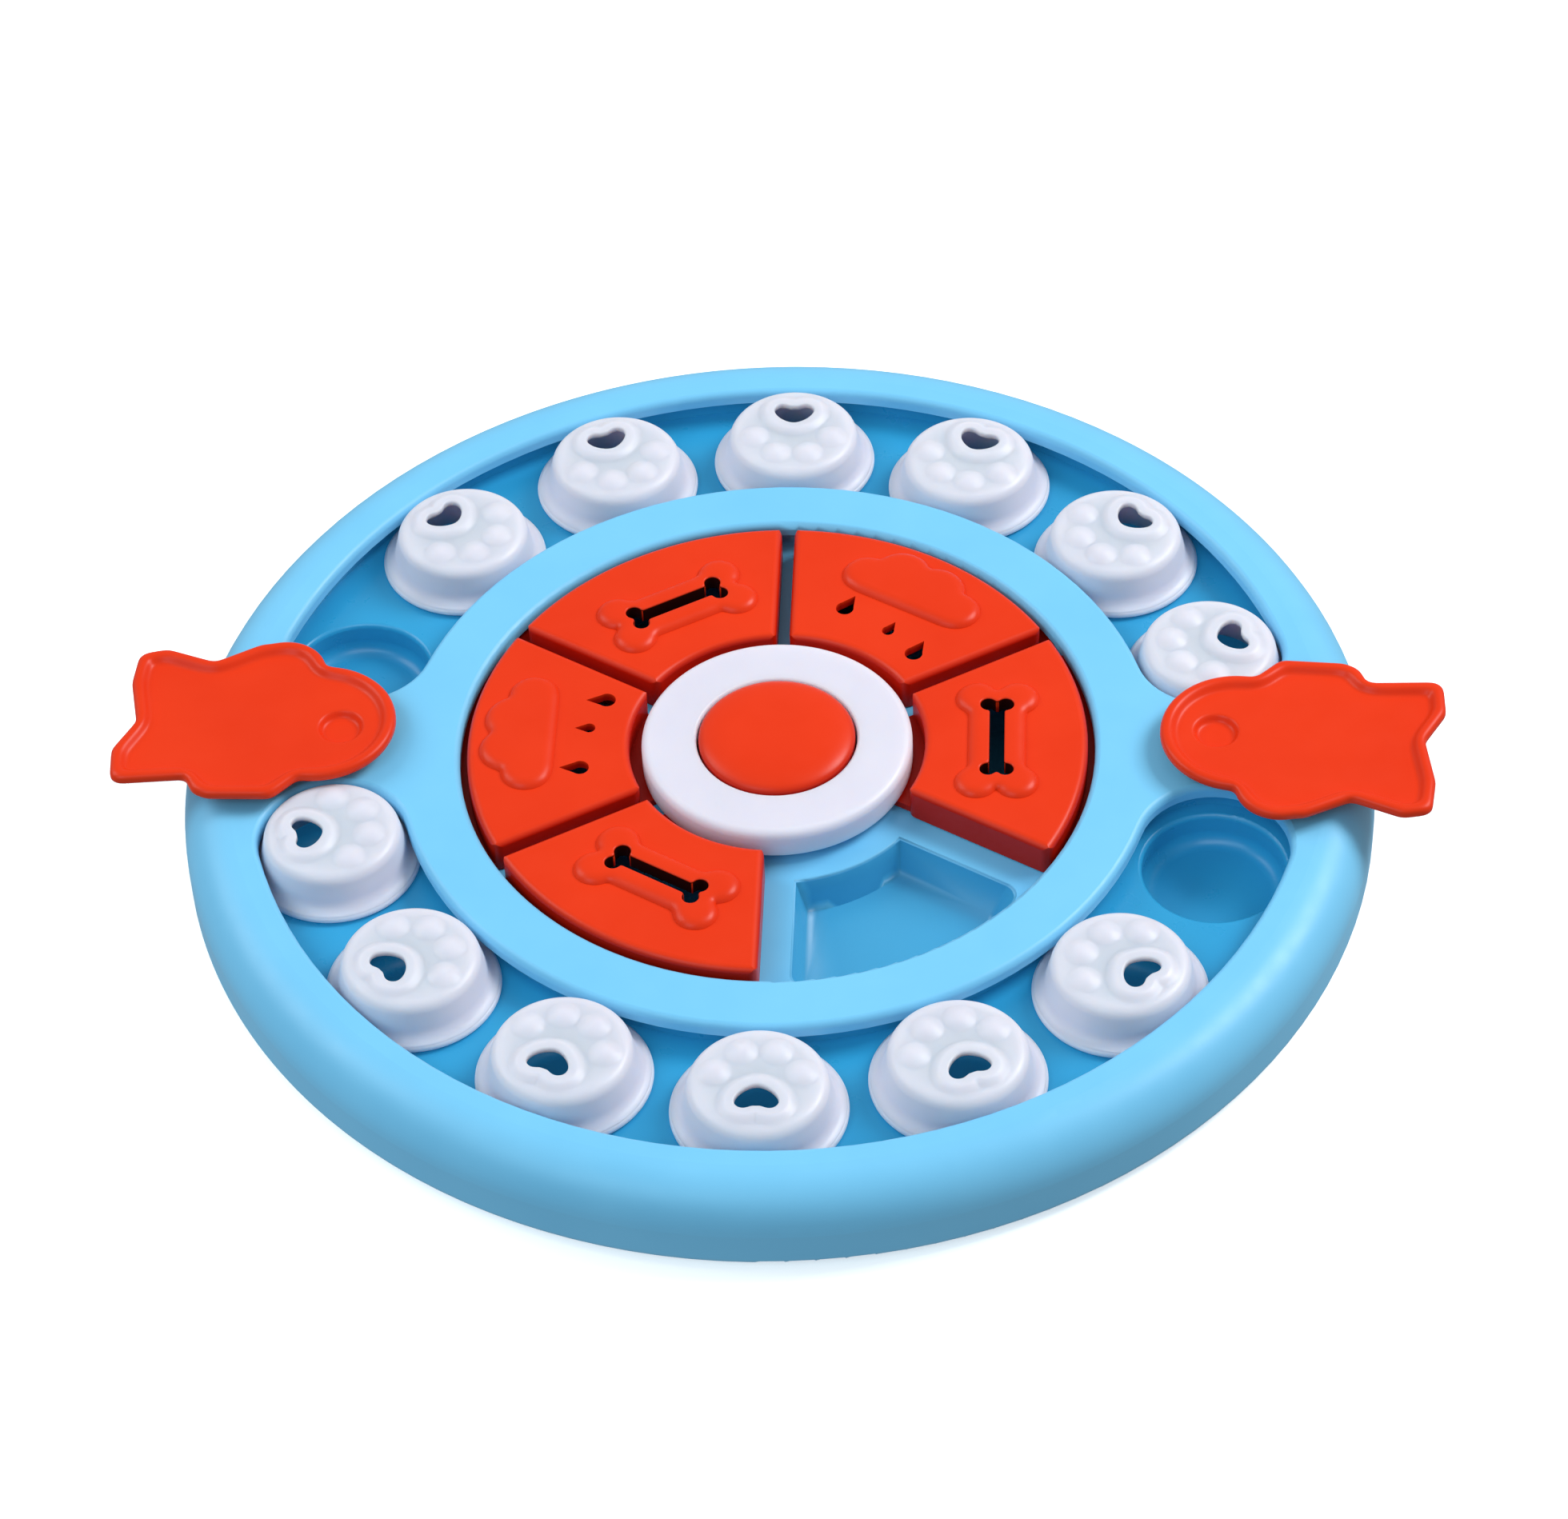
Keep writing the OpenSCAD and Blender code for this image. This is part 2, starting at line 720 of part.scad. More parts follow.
// Plan of a slide: a ring segment between two sides parallel to the spokes, with round corners
module slide_plan(inset) {
    outer = slide_out_r - inset;
    inner = slide_in_r + inset;
    side = slide_gap / 2 + inset;
    difference() {
        intersection() {
            difference() {
                circle(outer);
                circle(inner);
            }
            place_wedge(side);
        }
        for (half = [0, 1]) mirror([0, half]) {
            plan_corner(outer - corner_r, 1, inset);
            plan_corner(inner + corner_r, -1, inset);
        }
    }
}

// What is cut off at one corner of a slide's plan: outer corners face out, inner ones face in
module plan_corner(r, facing, inset) {
    a = corner_angle(r, inset);
    centre = polar(r, a);
    along = polar(1, a);
    across = polar(1, place_angle / 2 + 90);
    reach = 3 * corner_r;
    difference() {
        polygon([centre, centre + facing * reach * along, centre + reach * (facing * along + across),
                 centre + reach * across]);
        translate(centre) circle(corner_r, $fn = small_fn);
    }
}

// Rounded upper edge along one straight side of a slide
module slide_side_off(side) {
    apex = slide_gap / 2 / sin(place_angle / 2);
    translate([apex, 0, 0]) rotate([0, 0, side * place_angle / 2])
        mirror([0, side < 0 ? 1 : 0, 0])
            rotate([90, 0, 90]) linear_extrude(tray_r) round_off(stage_fit, slide_top, slide_edge_r);
}

// Ring segment within the slide's own wedge
module slide_ring(r0, r1, z0, h) {
    translate([0, 0, z0]) linear_extrude(h) intersection() {
        difference() {
            circle(r1);
            circle(r0);
        }
        place_wedge(slide_gap / 2 + 1);
    }
}

module slide_body() {
    inner = slide_in_r - stage_fit;
    outer = slide_out_r + stage_fit;
    difference() {
        intersection() {
            translate([0, 0, slide_bottom]) linear_extrude(slide_top - slide_bottom) slide_plan(0);
            rotate_extrude() difference() {
                translate([inner, 0]) square([outer - inner, slide_top]);
                round_off(outer, slide_top, slide_edge_r);
                translate([2 * inner, 0]) mirror([1, 0]) round_off(inner, slide_top, slide_edge_r);
            }
        }
        for (side = [-1, 1]) slide_side_off(side);
        translate([0, 0, slide_bottom - cut])
            linear_extrude(slide_top - slide_wall - slide_bottom + cut) slide_plan(slide_wall);
    }
    slide_ring(slide_out_r - slide_wall, outer_flange_r, slide_bottom, flange_t);
    slide_ring(inner_flange_r, slide_in_r + slide_wall, slide_bottom, inner_flange_t);
}

module bone_slide(a) {
    color(orange) rotate([0, 0, a]) difference() {
        union() {
            slide_body();
            translate([bone_r, 0, 0]) bone_figure();
        }
        linear_extrude(2 * cover_top) translate([bone_r, 0])
            bone_plan(slot_length, slot_lobe_r, slot_lobe_r, slot_shank);
    }
}

module cloud_slide(a) {
    color(orange) rotate([0, 0, a]) difference() {
        union() {
            slide_body();
            cloud_figure();
        }
        linear_extrude(2 * cover_top) cloud_drops();
    }
}

// Knobs

// A heart whose tip points to the tray's middle, which lies towards +Y. Its straight sides leave the lobes
// where they run to the tip.
module heart_plan() {
    lobe = [heart_lobe_x, heart_lobe_y];
    leave = lobe + 0.97 * polar(heart_lobe_r, heart_side);
    tip = heart_lobe_y + (heart_lobe_r + heart_lobe_x * cos(heart_side)) / sin(heart_side);
    for (side = [0, 1]) mirror([side, 0]) translate(lobe) circle(heart_lobe_r, $fn = small_fn);
    polygon([[0, tip], leave, lobe, [heart_lobe_x, heart_lobe_y - heart_notch],
             [-heart_lobe_x, heart_lobe_y - heart_notch], [-lobe[0], lobe[1]], [-leave[0], leave[1]]]);
}

module knob_section() {
    brim_top = knob_bottom + brim_t;
    edge = brim_t / 2;
    difference() {
        union() {
            translate([0, knob_bottom]) square([brim_r - edge, brim_t]);
            translate([brim_r - edge, knob_bottom + edge]) circle(edge, $fn = small_fn);
            polygon([[0, knob_bottom], [knob_foot_r, knob_bottom], [knob_foot_r, brim_top + brim_fillet],
                     [knob_crown_r, knob_top - crown_r], [knob_crown_r, knob_top], [0, knob_top]]);
            difference() {
                translate([knob_foot_r - cut, brim_top - cut / 2])
                    square([brim_fillet + cut, brim_fillet + cut / 2]);
                translate([knob_foot_r + brim_fillet, brim_top + brim_fillet])
                    circle(brim_fillet, $fn = small_fn);
            }
        }
        round_off(knob_crown_r, knob_top, crown_r);
        translate([-cut, 0]) square([knob_crown_r - knob_wall + cut, knob_top - knob_wall]);
    }
}

// Low ball caps for the toes
module toe(spot) {
    ball_r = (toe_r * toe_r + paw_relief * paw_relief) / (2 * paw_relief);
    translate([spot[0], spot[1], knob_peak - ball_r])
        rotate_extrude($fn = 48) intersection() {
            circle(ball_r, $fn = 360);
            translate([0, ball_r - paw_relief - 0.2]) square(ball_r);
        }
}

// A knob on its own axis, with the tray's middle towards +Y
module knob() {
    color(white) difference() {
        union() {
            rotate_extrude() knob_section();
            for (spot = toe_spots) toe(spot);
            for (step = [1, 2])
                translate([0, -scent_offset, knob_top - cut / 2])
                    linear_extrude(cut / 2 + paw_relief * step / 2)
                        offset(r = heel_border / step, $fn = 24) heart_plan();
        }
        translate([0, -scent_offset, knob_bottom]) linear_extrude(cover_top) heart_plan();
    }
}

// Knobs fill the first cups of a channel, and its last cup is free
module rear_knob(i) {
    rotate([0, 0, cup_angle(i - 1)]) translate([track_r, 0, 0]) rotate([0, 0, 90]) knob();
}

module front_knob(i) {
    to_front() rear_knob(i);
}

top_cover();
rear_trough();
front_trough();
pocket_bowl();
bottom_plate();
foot_pads();
cover_screws();
hub_ring();
hub_screws();
center_button();
squeaker_bulb();
squeaker_reed();
at_left_pivot() color(orange) fish_at_pivot();  // left_fish
at_left_pivot() fish_pin_at_pivot();  // left_fish_pin
at_right_pivot() color(orange) fish_at_pivot();  // right_fish
at_right_pivot() fish_pin_at_pivot();  // right_fish_pin
bone_slide(slide_kinds[0][1]);  // bone_slide_1
cloud_slide(slide_kinds[1][1]);  // cloud_slide_1
bone_slide(slide_kinds[2][1]);  // bone_slide_2
cloud_slide(slide_kinds[3][1]);  // cloud_slide_2
bone_slide(slide_kinds[4][1]);  // bone_slide_3
for (i = [1 : knobs_per_channel]) {
    rear_knob(i);
    front_knob(i);
}
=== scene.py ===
# %% [markdown]
# # A cat puzzle feeder, dressed over its CAD frame
# The feeder is a round, light blue tray. White paw knobs slide in two curved channels over treat cups, orange
# treat slides turn round a white hub like a wheel, and two orange fish swing aside from the channels' ends.
# The CAD model fixes every size, so this lesson only dresses it: it loads the frame, remakes the soft-edged
# pieces as meshes, gives each piece its finish and sets the light and the camera.

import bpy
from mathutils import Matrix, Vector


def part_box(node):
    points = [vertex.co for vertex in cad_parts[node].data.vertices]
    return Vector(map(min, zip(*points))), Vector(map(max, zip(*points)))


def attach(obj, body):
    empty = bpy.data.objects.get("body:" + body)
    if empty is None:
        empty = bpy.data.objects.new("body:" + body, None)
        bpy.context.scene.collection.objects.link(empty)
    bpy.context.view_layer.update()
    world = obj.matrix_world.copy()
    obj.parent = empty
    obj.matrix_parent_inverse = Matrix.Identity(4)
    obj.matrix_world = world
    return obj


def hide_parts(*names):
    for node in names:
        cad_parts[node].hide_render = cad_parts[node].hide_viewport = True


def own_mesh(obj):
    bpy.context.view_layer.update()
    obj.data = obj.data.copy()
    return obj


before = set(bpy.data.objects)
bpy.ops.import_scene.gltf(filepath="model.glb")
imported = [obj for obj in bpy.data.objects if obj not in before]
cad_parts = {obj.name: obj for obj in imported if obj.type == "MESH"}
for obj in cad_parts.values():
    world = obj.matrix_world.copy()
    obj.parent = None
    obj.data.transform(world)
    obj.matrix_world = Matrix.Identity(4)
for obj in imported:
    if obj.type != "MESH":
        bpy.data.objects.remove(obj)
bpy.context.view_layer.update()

# %% [markdown]
# ## Tools for the rest of the lesson
# Blender works in metres, and a moulded toy is easier to think of in millimetres, so lengths below are given
# in millimetres and multiplied by MM once. Three helpers come with that. The first measures the volume that a
# closed mesh holds. The second turns the faces outwards by that volume's sign, and shades the surface smooth
# except at edges that turn by more than a given angle. The third puts the mesh in the scene.

# %% Helpers for meshes
import math

import bmesh
import bpy
import numpy as np
from mathutils import Matrix, Vector

MM = 0.001


def enclosed_volume(mesh):
    """Signed volume of a closed mesh: it comes out negative where the faces look inwards."""
    mesh.calc_loop_triangles()
    total = 0.0
    for tri in mesh.loop_triangles:
        a, b, c = (mesh.vertices[i].co for i in tri.vertices)
        total += a.dot(b.cross(c)) / 6
    return total


def finish_mesh(mesh, crease):
    """Turns the faces outwards and shades the mesh smooth, with sharp edges above the crease angle."""
    if enclosed_volume(mesh) < 0:
        mesh.flip_normals()
    mesh.shade_smooth()
    mesh.set_sharp_from_angle(angle=math.radians(crease))
    mesh.update()
    return mesh


def add_object(name, mesh, finish=None):
    """Puts a mesh in the scene as an object at the origin."""
    piece = bpy.data.objects.new(name, mesh)
    bpy.context.scene.collection.objects.link(piece)
    if finish is not None:
        mesh.materials.clear()
        mesh.materials.append(finish)
    return piece


print("one millimetre is", MM, "of Blender's units")

# %% [markdown]
# ## The camera
# The photograph looks down at the tray from about 45 degrees, from a little to the right, through a long
# lens. Its place was found by matching the tray's circles to the picture: the tray's middle, the window and
# the outer rim. A camera can be aimed by a constraint, but a matrix built from the three directions also
# takes in the slight roll, and nothing else has to be evaluated.

# %% Camera at the photograph's angle
PHOTO_W = 1960
PHOTO_H = 1899
CAMERA_TURN = math.radians(4.145)
CAMERA_RISE = math.radians(45.4)
CAMERA_ROLL = math.radians(-2.672)
CAMERA_AWAY = 1.050114
AIM = Vector((0, 0, 20 * MM))
FOCAL_PIXELS = 6271.325
CENTRE_PIXEL = (971.2, 926.8)


def set_camera():
    back = Vector((math.sin(CAMERA_TURN) * math.cos(CAMERA_RISE),
                   -math.cos(CAMERA_TURN) * math.cos(CAMERA_RISE),
                   math.sin(CAMERA_RISE)))
    right = (-back).cross(Vector((0, 0, 1))).normalized()
    up = right.cross(-back)
    side = math.cos(CAMERA_ROLL) * right + math.sin(CAMERA_ROLL) * up
    top = -math.sin(CAMERA_ROLL) * right + math.cos(CAMERA_ROLL) * up
    place = AIM + back * CAMERA_AWAY
    lens = bpy.data.cameras.new("photo_camera")
    lens.sensor_fit = "HORIZONTAL"
    lens.sensor_width = 36
    lens.lens = FOCAL_PIXELS / PHOTO_W * lens.sensor_width
    lens.shift_x = (PHOTO_W / 2 - CENTRE_PIXEL[0]) / PHOTO_W
    lens.shift_y = (CENTRE_PIXEL[1] - PHOTO_H / 2) / PHOTO_W
    camera = bpy.data.objects.new("photo_camera", lens)
    camera.matrix_world = Matrix((
        (side.x, top.x, back.x, place.x),
        (side.y, top.y, back.y, place.y),
        (side.z, top.z, back.z, place.z),
        (0, 0, 0, 1)))
    bpy.context.scene.collection.objects.link(camera)
    bpy.context.scene.camera = camera
    return camera


camera = set_camera()
print("lens in mm:", round(camera.data.lens, 1), "place:", [round(c, 3) for c in camera.location])

# %% [markdown]
# ## Moulded plastic
# Nearly everything here is injection-moulded polypropylene or ABS: smooth, a little waxy, with a satin sheen.
# A single colour looks like a drawing, because real plastic has cloudy pigment, patches that are a touch
# duller where the melt cooled, and a fine grain from the mould. Each of these is one noise texture on Object
# coordinates: a slow one for the colour, a middle one for the roughness and a fine one for the bump.

# %% Moulded plastic
IOR_PLASTIC = 1.49
GRAIN_DEPTH = 0.05 * MM


def add_noise(finish, scale, detail):
    """A noise texture on Object coordinates, as its value's socket."""
    nodes = finish.node_tree.nodes
    place = nodes.get("Texture Coordinate") or nodes.new("ShaderNodeTexCoord")
    noise = nodes.new("ShaderNodeTexNoise")
    noise.inputs["Scale"].default_value = scale
    noise.inputs["Detail"].default_value = detail
    finish.node_tree.links.new(place.outputs["Object"], noise.inputs["Vector"])
    return noise.outputs["Fac"]


def moulded_plastic(name, colour, deeper, roughness, grain=0.12, glow=0.0, glow_reach=2.0, gloss=0.5):
    """A satin plastic: linear colours, a low and a high roughness, and the strength of the grain."""
    finish = bpy.data.materials.new(name)
    finish.use_nodes = True
    nodes = finish.node_tree.nodes
    links = finish.node_tree.links
    shader = nodes["Principled BSDF"]

    tint = nodes.new("ShaderNodeValToRGB")
    for stop, position, shade in zip(tint.color_ramp.elements, (0.3, 0.68), (deeper, colour)):
        stop.position = position
        stop.color = (*shade, 1)
    links.new(add_noise(finish, 42, 3), tint.inputs["Fac"])
    links.new(tint.outputs["Color"], shader.inputs["Base Color"])

    sheen = nodes.new("ShaderNodeMapRange")
    for label, value in zip(("From Min", "From Max", "To Min", "To Max"), (0.3, 0.7, *roughness)):
        sheen.inputs[label].default_value = value
    links.new(add_noise(finish, 170, 4), sheen.inputs["Value"])
    links.new(sheen.outputs["Result"], shader.inputs["Roughness"])

    relief = nodes.new("ShaderNodeBump")
    relief.inputs["Strength"].default_value = grain
    relief.inputs["Distance"].default_value = GRAIN_DEPTH
    links.new(add_noise(finish, 1500, 3), relief.inputs["Height"])
    links.new(relief.outputs["Normal"], shader.inputs["Normal"])

    shader.inputs["IOR"].default_value = IOR_PLASTIC
    shader.inputs["Specular IOR Level"].default_value = gloss
    shader.inputs["Subsurface Weight"].default_value = glow
    shader.inputs["Subsurface Radius"].default_value = (1.0, 0.8, 0.7)
    shader.inputs["Subsurface Scale"].default_value = glow_reach * MM
    return finish


print("a plastic's grain is", round(GRAIN_DEPTH / MM, 2), "mm deep")

# %% [markdown]
# ## Deeper walls
# Walls in narrow gaps and slots lie in deep shade on the real toy, deeper than broad studio light leaves
# them. Shade that is painted by hand would be lost when a piece is reshaped, so a deeper colour is mixed in
# by rule: below a height in Object coordinates, or where a mesh carries an attribute that says so.

# %% Mix in a deeper colour
def mix_in(finish, deeper, share):
    """Mixes a deeper colour into a finish by a share from a socket."""
    links = finish.node_tree.links
    base = finish.node_tree.nodes["Principled BSDF"].inputs["Base Color"]
    blend = finish.node_tree.nodes.new("ShaderNodeMix")
    blend.data_type = "RGBA"
    before, after = [socket for socket in blend.inputs if socket.type == "RGBA"]
    mixed = next(socket for socket in blend.outputs if socket.type == "RGBA")
    after.default_value = (*deeper, 1)
    links.new(base.links[0].from_socket, before)
    links.new(share, blend.inputs["Factor"])
    links.new(mixed, base)


def paint_shade_below(finish, deeper, heights):
    """Paints shade into a finish below a height, over the short run between two heights in millimetres."""
    nodes = finish.node_tree.nodes
    axes = nodes.new("ShaderNodeSeparateXYZ")
    run = nodes.new("ShaderNodeMapRange")
    low, high = (height * MM for height in heights)
    for label, value in zip(("From Min", "From Max", "To Min", "To Max"), (low, high, 1, 0)):
        run.inputs[label].default_value = value
    finish.node_tree.links.new(nodes["Texture Coordinate"].outputs["Object"], axes.inputs["Vector"])
    finish.node_tree.links.new(axes.outputs["Z"], run.inputs["Value"])
    mix_in(finish, deeper, run.outputs["Result"])


def paint_shade_where(finish, deeper, attribute):
    """Paints shade into a finish where a mesh attribute says so; a mesh without it keeps its colour."""
    given = finish.node_tree.nodes.new("ShaderNodeAttribute")
    given.attribute_name = attribute
    mix_in(finish, deeper, given.outputs["Fac"])


print("deeper colours go by height or by an attribute")

# %% Plastic finishes
SATIN = (0.36, 0.46)
SMOOTH = (0.3, 0.4)
POLISHED = (0.26, 0.36)
ORANGE = (0.82, 0.04, 0.005)
ORANGE_CLOUDED = (0.78, 0.035, 0.004)
ORANGE_WALL_SHADE = (0.52, 0.009, 0.001)
ORANGE_SLOT_SHADE = (0.025, 0.002, 0.001)
SLIDE_SHADE_Z = (19.6, 20.5)
BUTTON_SHADE_Z = (20.9, 22.5)

sky_blue = moulded_plastic("cover_sky_blue", (0.2, 0.6, 0.9), (0.185, 0.575, 0.875), SATIN, gloss=0.4)
cup_blue = moulded_plastic("tray_cup_blue", (0.026, 0.31, 0.56), (0.023, 0.29, 0.535), POLISHED, gloss=0.4)
paw_white = moulded_plastic("knob_white", (0.77, 0.745, 0.83), (0.745, 0.72, 0.81), SATIN, 0.1, 1.0, 4.0)
fish_orange, slide_orange, button_orange = (
    moulded_plastic(name, ORANGE, ORANGE_CLOUDED, SMOOTH, 0.14, gloss=0.22)
    for name in ("fish_orange", "slide_orange", "button_orange"))
# Painted shade: the slides' and the button's walls darken below a height, and the bones' slot linings go near
# black.
paint_shade_below(slide_orange, ORANGE_WALL_SHADE, SLIDE_SHADE_Z)
paint_shade_where(slide_orange, ORANGE_SLOT_SHADE, "slot_shade")
paint_shade_below(button_orange, ORANGE_WALL_SHADE, BUTTON_SHADE_Z)
plastics = (sky_blue, cup_blue, paw_white, fish_orange, slide_orange, button_orange)
print("plastics:", [finish.name for finish in plastics])

# %% [markdown]
# ## Rubber and screw steel
# The four feet and the squeaker's bellows are soft rubber: dark, dull and slightly dusty, so the roughness is
# high and the grain coarser. The screws and the fish's pins are bright zinc-plated steel, whose turned heads
# carry fine rings. A wave texture in rings would do on one head, but these heads sit all over the tray, so a
# stretched noise on Object coordinates gives brushed streaks that suit every head.

# %% Rubber and steel
def soft_rubber(name, colour, dusty):
    """A dull rubber with a dusty bloom and a coarse grain."""
    finish = moulded_plastic(name, dusty, colour, (0.62, 0.8), 0.4)
    finish.node_tree.nodes["Principled BSDF"].inputs["IOR"].default_value = 1.52
    return finish


def plated_steel(name):
    """Bright plated steel with brushed streaks."""
    finish = moulded_plastic(name, (0.66, 0.67, 0.69), (0.52, 0.53, 0.56), (0.24, 0.4), 0.2)
    nodes = finish.node_tree.nodes
    links = finish.node_tree.links
    nodes["Principled BSDF"].inputs["Metallic"].default_value = 1.0
    stretch = nodes.new("ShaderNodeMapping")
    stretch.inputs["Scale"].default_value = (1.0, 9.0, 1.0)
    place = nodes["Texture Coordinate"]
    links.new(place.outputs["Object"], stretch.inputs["Vector"])
    for node in nodes:
        if node.bl_idname == "ShaderNodeTexNoise":
            links.new(stretch.outputs["Vector"], node.inputs["Vector"])
    return finish


pad_rubber = soft_rubber("pad_rubber", (0.018, 0.02, 0.024), (0.035, 0.037, 0.042))
bulb_rubber = soft_rubber("bulb_rubber", (0.024, 0.025, 0.028), (0.05, 0.051, 0.055))
screw_steel = plated_steel("screw_steel")
print("soft and metal finishes:", [m.name for m in (pad_rubber, bulb_rubber, screw_steel)])

# %% [markdown]
# ## The tray's own solids
# The cover, the two troughs, the plate, the hub ring and the treat slides are already right in the CAD,
# fillets included, so they stay and only take their finish. The record says which slot each node belongs to,
# and the slot's name picks the material here, so a recoloured tray stays consistent.

# %% Finish the CAD nodes
FINISHES = {
    "cover_blue": sky_blue,
    "cup_blue": cup_blue,
    "orange": slide_orange,
    "white": paw_white,
    "screw_steel": screw_steel,
}
NODE_SLOTS = {
    "top_cover": "cover_blue",
    "rear_trough": "cup_blue",
    "front_trough": "cup_blue",
    "bottom_plate": "cup_blue",
    "hub_ring": "white",
    "squeaker_reed": "white",
    "left_fish_pin": "screw_steel",
    "right_fish_pin": "screw_steel",
}
for kind, count in (("bone", 3), ("cloud", 2)):
    for number in range(1, count + 1):
        NODE_SLOTS[f"{kind}_slide_{number}"] = "orange"


def take_finish(node, finish):
    """Gives a CAD node a finish through its own material slots; its mesh stays as it is."""
    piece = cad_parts[node]
    if not piece.material_slots:
        piece.data.materials.append(finish)
    for holder in piece.material_slots:
        holder.material = finish


for node, slot in NODE_SLOTS.items():
    take_finish(node, FINISHES[slot])
print("CAD nodes finished:", len(NODE_SLOTS))

# %% [markdown]
# ## Copies along a ring
# Knobs, screws and feet are all one shape repeated round the tray's axis, so one Geometry Nodes tree serves
# them all. It lays Count points on a ring, from a first angle on in steps of the pitch, puts the piece on
# each and turns it with the ring. Each knob moves on its own, so the tree can also keep only one of the
# copies, by its number. It ends in Realize Instances and Set Material, and the result is made a plain mesh.

# %% Nodes of a tree
RING_SOCKETS = (("Piece", "Object"), ("Count", "Int"), ("Ring radius", "Float"), ("First angle", "Float"),
                ("Pitch", "Float"), ("Facing", "Float"), ("Only", "Int"), ("Finish", "Material"))


def empty_tree(name, sockets):
    """A Geometry Nodes tree with named inputs and one geometry output."""
    tree = bpy.data.node_groups.new(name, "GeometryNodeTree")
    for label, kind in sockets:
        tree.interface.new_socket(name=label, in_out="INPUT", socket_type="NodeSocket" + kind)
    tree.interface.new_socket(name="Geometry", in_out="OUTPUT", socket_type="NodeSocketGeometry")
    return tree


def add_node(tree, kind, inputs, **settings):
    """Adds a node, with its settings and its inputs, each a number or another node's socket."""
    node = tree.nodes.new(kind)
    for key, value in settings.items():
        setattr(node, key, value)
    for key, value in inputs.items():
        if isinstance(value, bpy.types.NodeSocket):
            tree.links.new(value, node.inputs[key])
        else:
            node.inputs[key].default_value = value
    return node


def math_node(tree, operation, *values):
    return add_node(tree, "ShaderNodeMath", dict(enumerate(values)), operation=operation).outputs[0]


print("ring tree's inputs:", [label for label, _ in RING_SOCKETS])

# %% Geometry Nodes tree for copies along a ring
def ring_points(tree, given, angle):
    """One point on the ring for each copy."""
    spot = {axis: math_node(tree, "MULTIPLY", math_node(tree, wave, angle), given["Ring radius"])
            for wave, axis in (("COSINE", "X"), ("SINE", "Y"))}
    place = add_node(tree, "ShaderNodeCombineXYZ", spot)
    line = add_node(tree, "GeometryNodeMeshLine", {"Count": given["Count"]},
                    mode="OFFSET", count_mode="TOTAL")
    placed = add_node(tree, "GeometryNodeSetPosition",
                      {"Geometry": line.outputs["Mesh"], "Position": place.outputs["Vector"]})
    return placed.outputs["Geometry"]


def not_asked_for(tree, given, number):
    """Marks every copy but the one that Only asks for, and none where Only is 0."""
    same = math_node(tree, "COMPARE", math_node(tree, "ADD", number, 1), given["Only"], 0.25)
    asked = math_node(tree, "GREATER_THAN", given["Only"], 0.5)
    return math_node(tree, "MULTIPLY", math_node(tree, "SUBTRACT", 1, same), asked)


def ring_tree():
    tree = empty_tree("Copies along a ring", RING_SOCKETS)
    given = tree.nodes.new("NodeGroupInput").outputs
    number = tree.nodes.new("GeometryNodeInputIndex").outputs[0]
    angle = math_node(tree, "MULTIPLY_ADD", number, given["Pitch"], given["First angle"])
    euler = add_node(tree, "ShaderNodeCombineXYZ", {"Z": math_node(tree, "ADD", angle, given["Facing"])})
    turn = add_node(tree, "FunctionNodeEulerToRotation", {0: euler.outputs["Vector"]})
    source = add_node(tree, "GeometryNodeObjectInfo", {"Object": given["Piece"]}, transform_space="ORIGINAL")
    copies = add_node(tree, "GeometryNodeInstanceOnPoints",
                      {"Points": ring_points(tree, given, angle), "Instance": source.outputs["Geometry"],
                       "Rotation": turn.outputs[0]})
    kept = add_node(tree, "GeometryNodeDeleteGeometry",
                    {"Geometry": copies.outputs["Instances"],
                     "Selection": not_asked_for(tree, given, number)}, domain="INSTANCE")
    solid = add_node(tree, "GeometryNodeRealizeInstances", {"Geometry": kept.outputs["Geometry"]})
    dressed = add_node(tree, "GeometryNodeSetMaterial",
                       {"Geometry": solid.outputs["Geometry"], "Material": given["Finish"]})
    add_node(tree, "NodeGroupOutput", {"Geometry": dressed.outputs["Geometry"]})
    return tree


RING = ring_tree()
RING_INPUTS = {item.name: item.identifier for item in RING.interface.items_tree
               if item.item_type == "SOCKET" and item.in_out == "INPUT"}
print("ring tree:", len(RING.nodes), "nodes, inputs", sorted(RING_INPUTS))

# %% Run the tree and keep a plain mesh
def copies_on_ring(name, piece, finish, count, radius, first, pitch, facing=0.0, only=0):
    """Runs the ring tree and returns its result as an object with a plain mesh. Angles are in degrees."""
    holder = bpy.data.objects.new(name, bpy.data.meshes.new(name))
    bpy.context.scene.collection.objects.link(holder)
    ring = holder.modifiers.new("Ring", "NODES")
    ring.node_group = RING
    values = {"Piece": piece, "Count": count, "Ring radius": radius * MM, "First angle": math.radians(first),
              "Pitch": math.radians(pitch), "Facing": math.radians(facing), "Only": only, "Finish": finish}
    for label, value in values.items():
        ring[RING_INPUTS[label]] = value
    seen = holder.evaluated_get(bpy.context.evaluated_depsgraph_get())
    mesh = bpy.data.meshes.new_from_object(seen)
    mesh.name = name
    holder.modifiers.remove(ring)
    holder.data = mesh
    return holder


print("the ring tree is run once for each body that needs copies")

# %% [markdown]
# ## The paw knob: its outline
# A knob is a hollow white bell with a brim that runs under the cover. Its crown carries a paw print: four
# toe pads and a heel pad with a heart-shaped scent hole through it. Modelling it from primitives and booleans
# leaves hard seams, so it is lofted instead: a loop of rings goes up through the heart, over the crown, down
# the bell, under the brim and up the hollow again. First come the heart, as distances from a point inside
# it, and the bell's profile, softened so that crown, wall and flare run into each other.

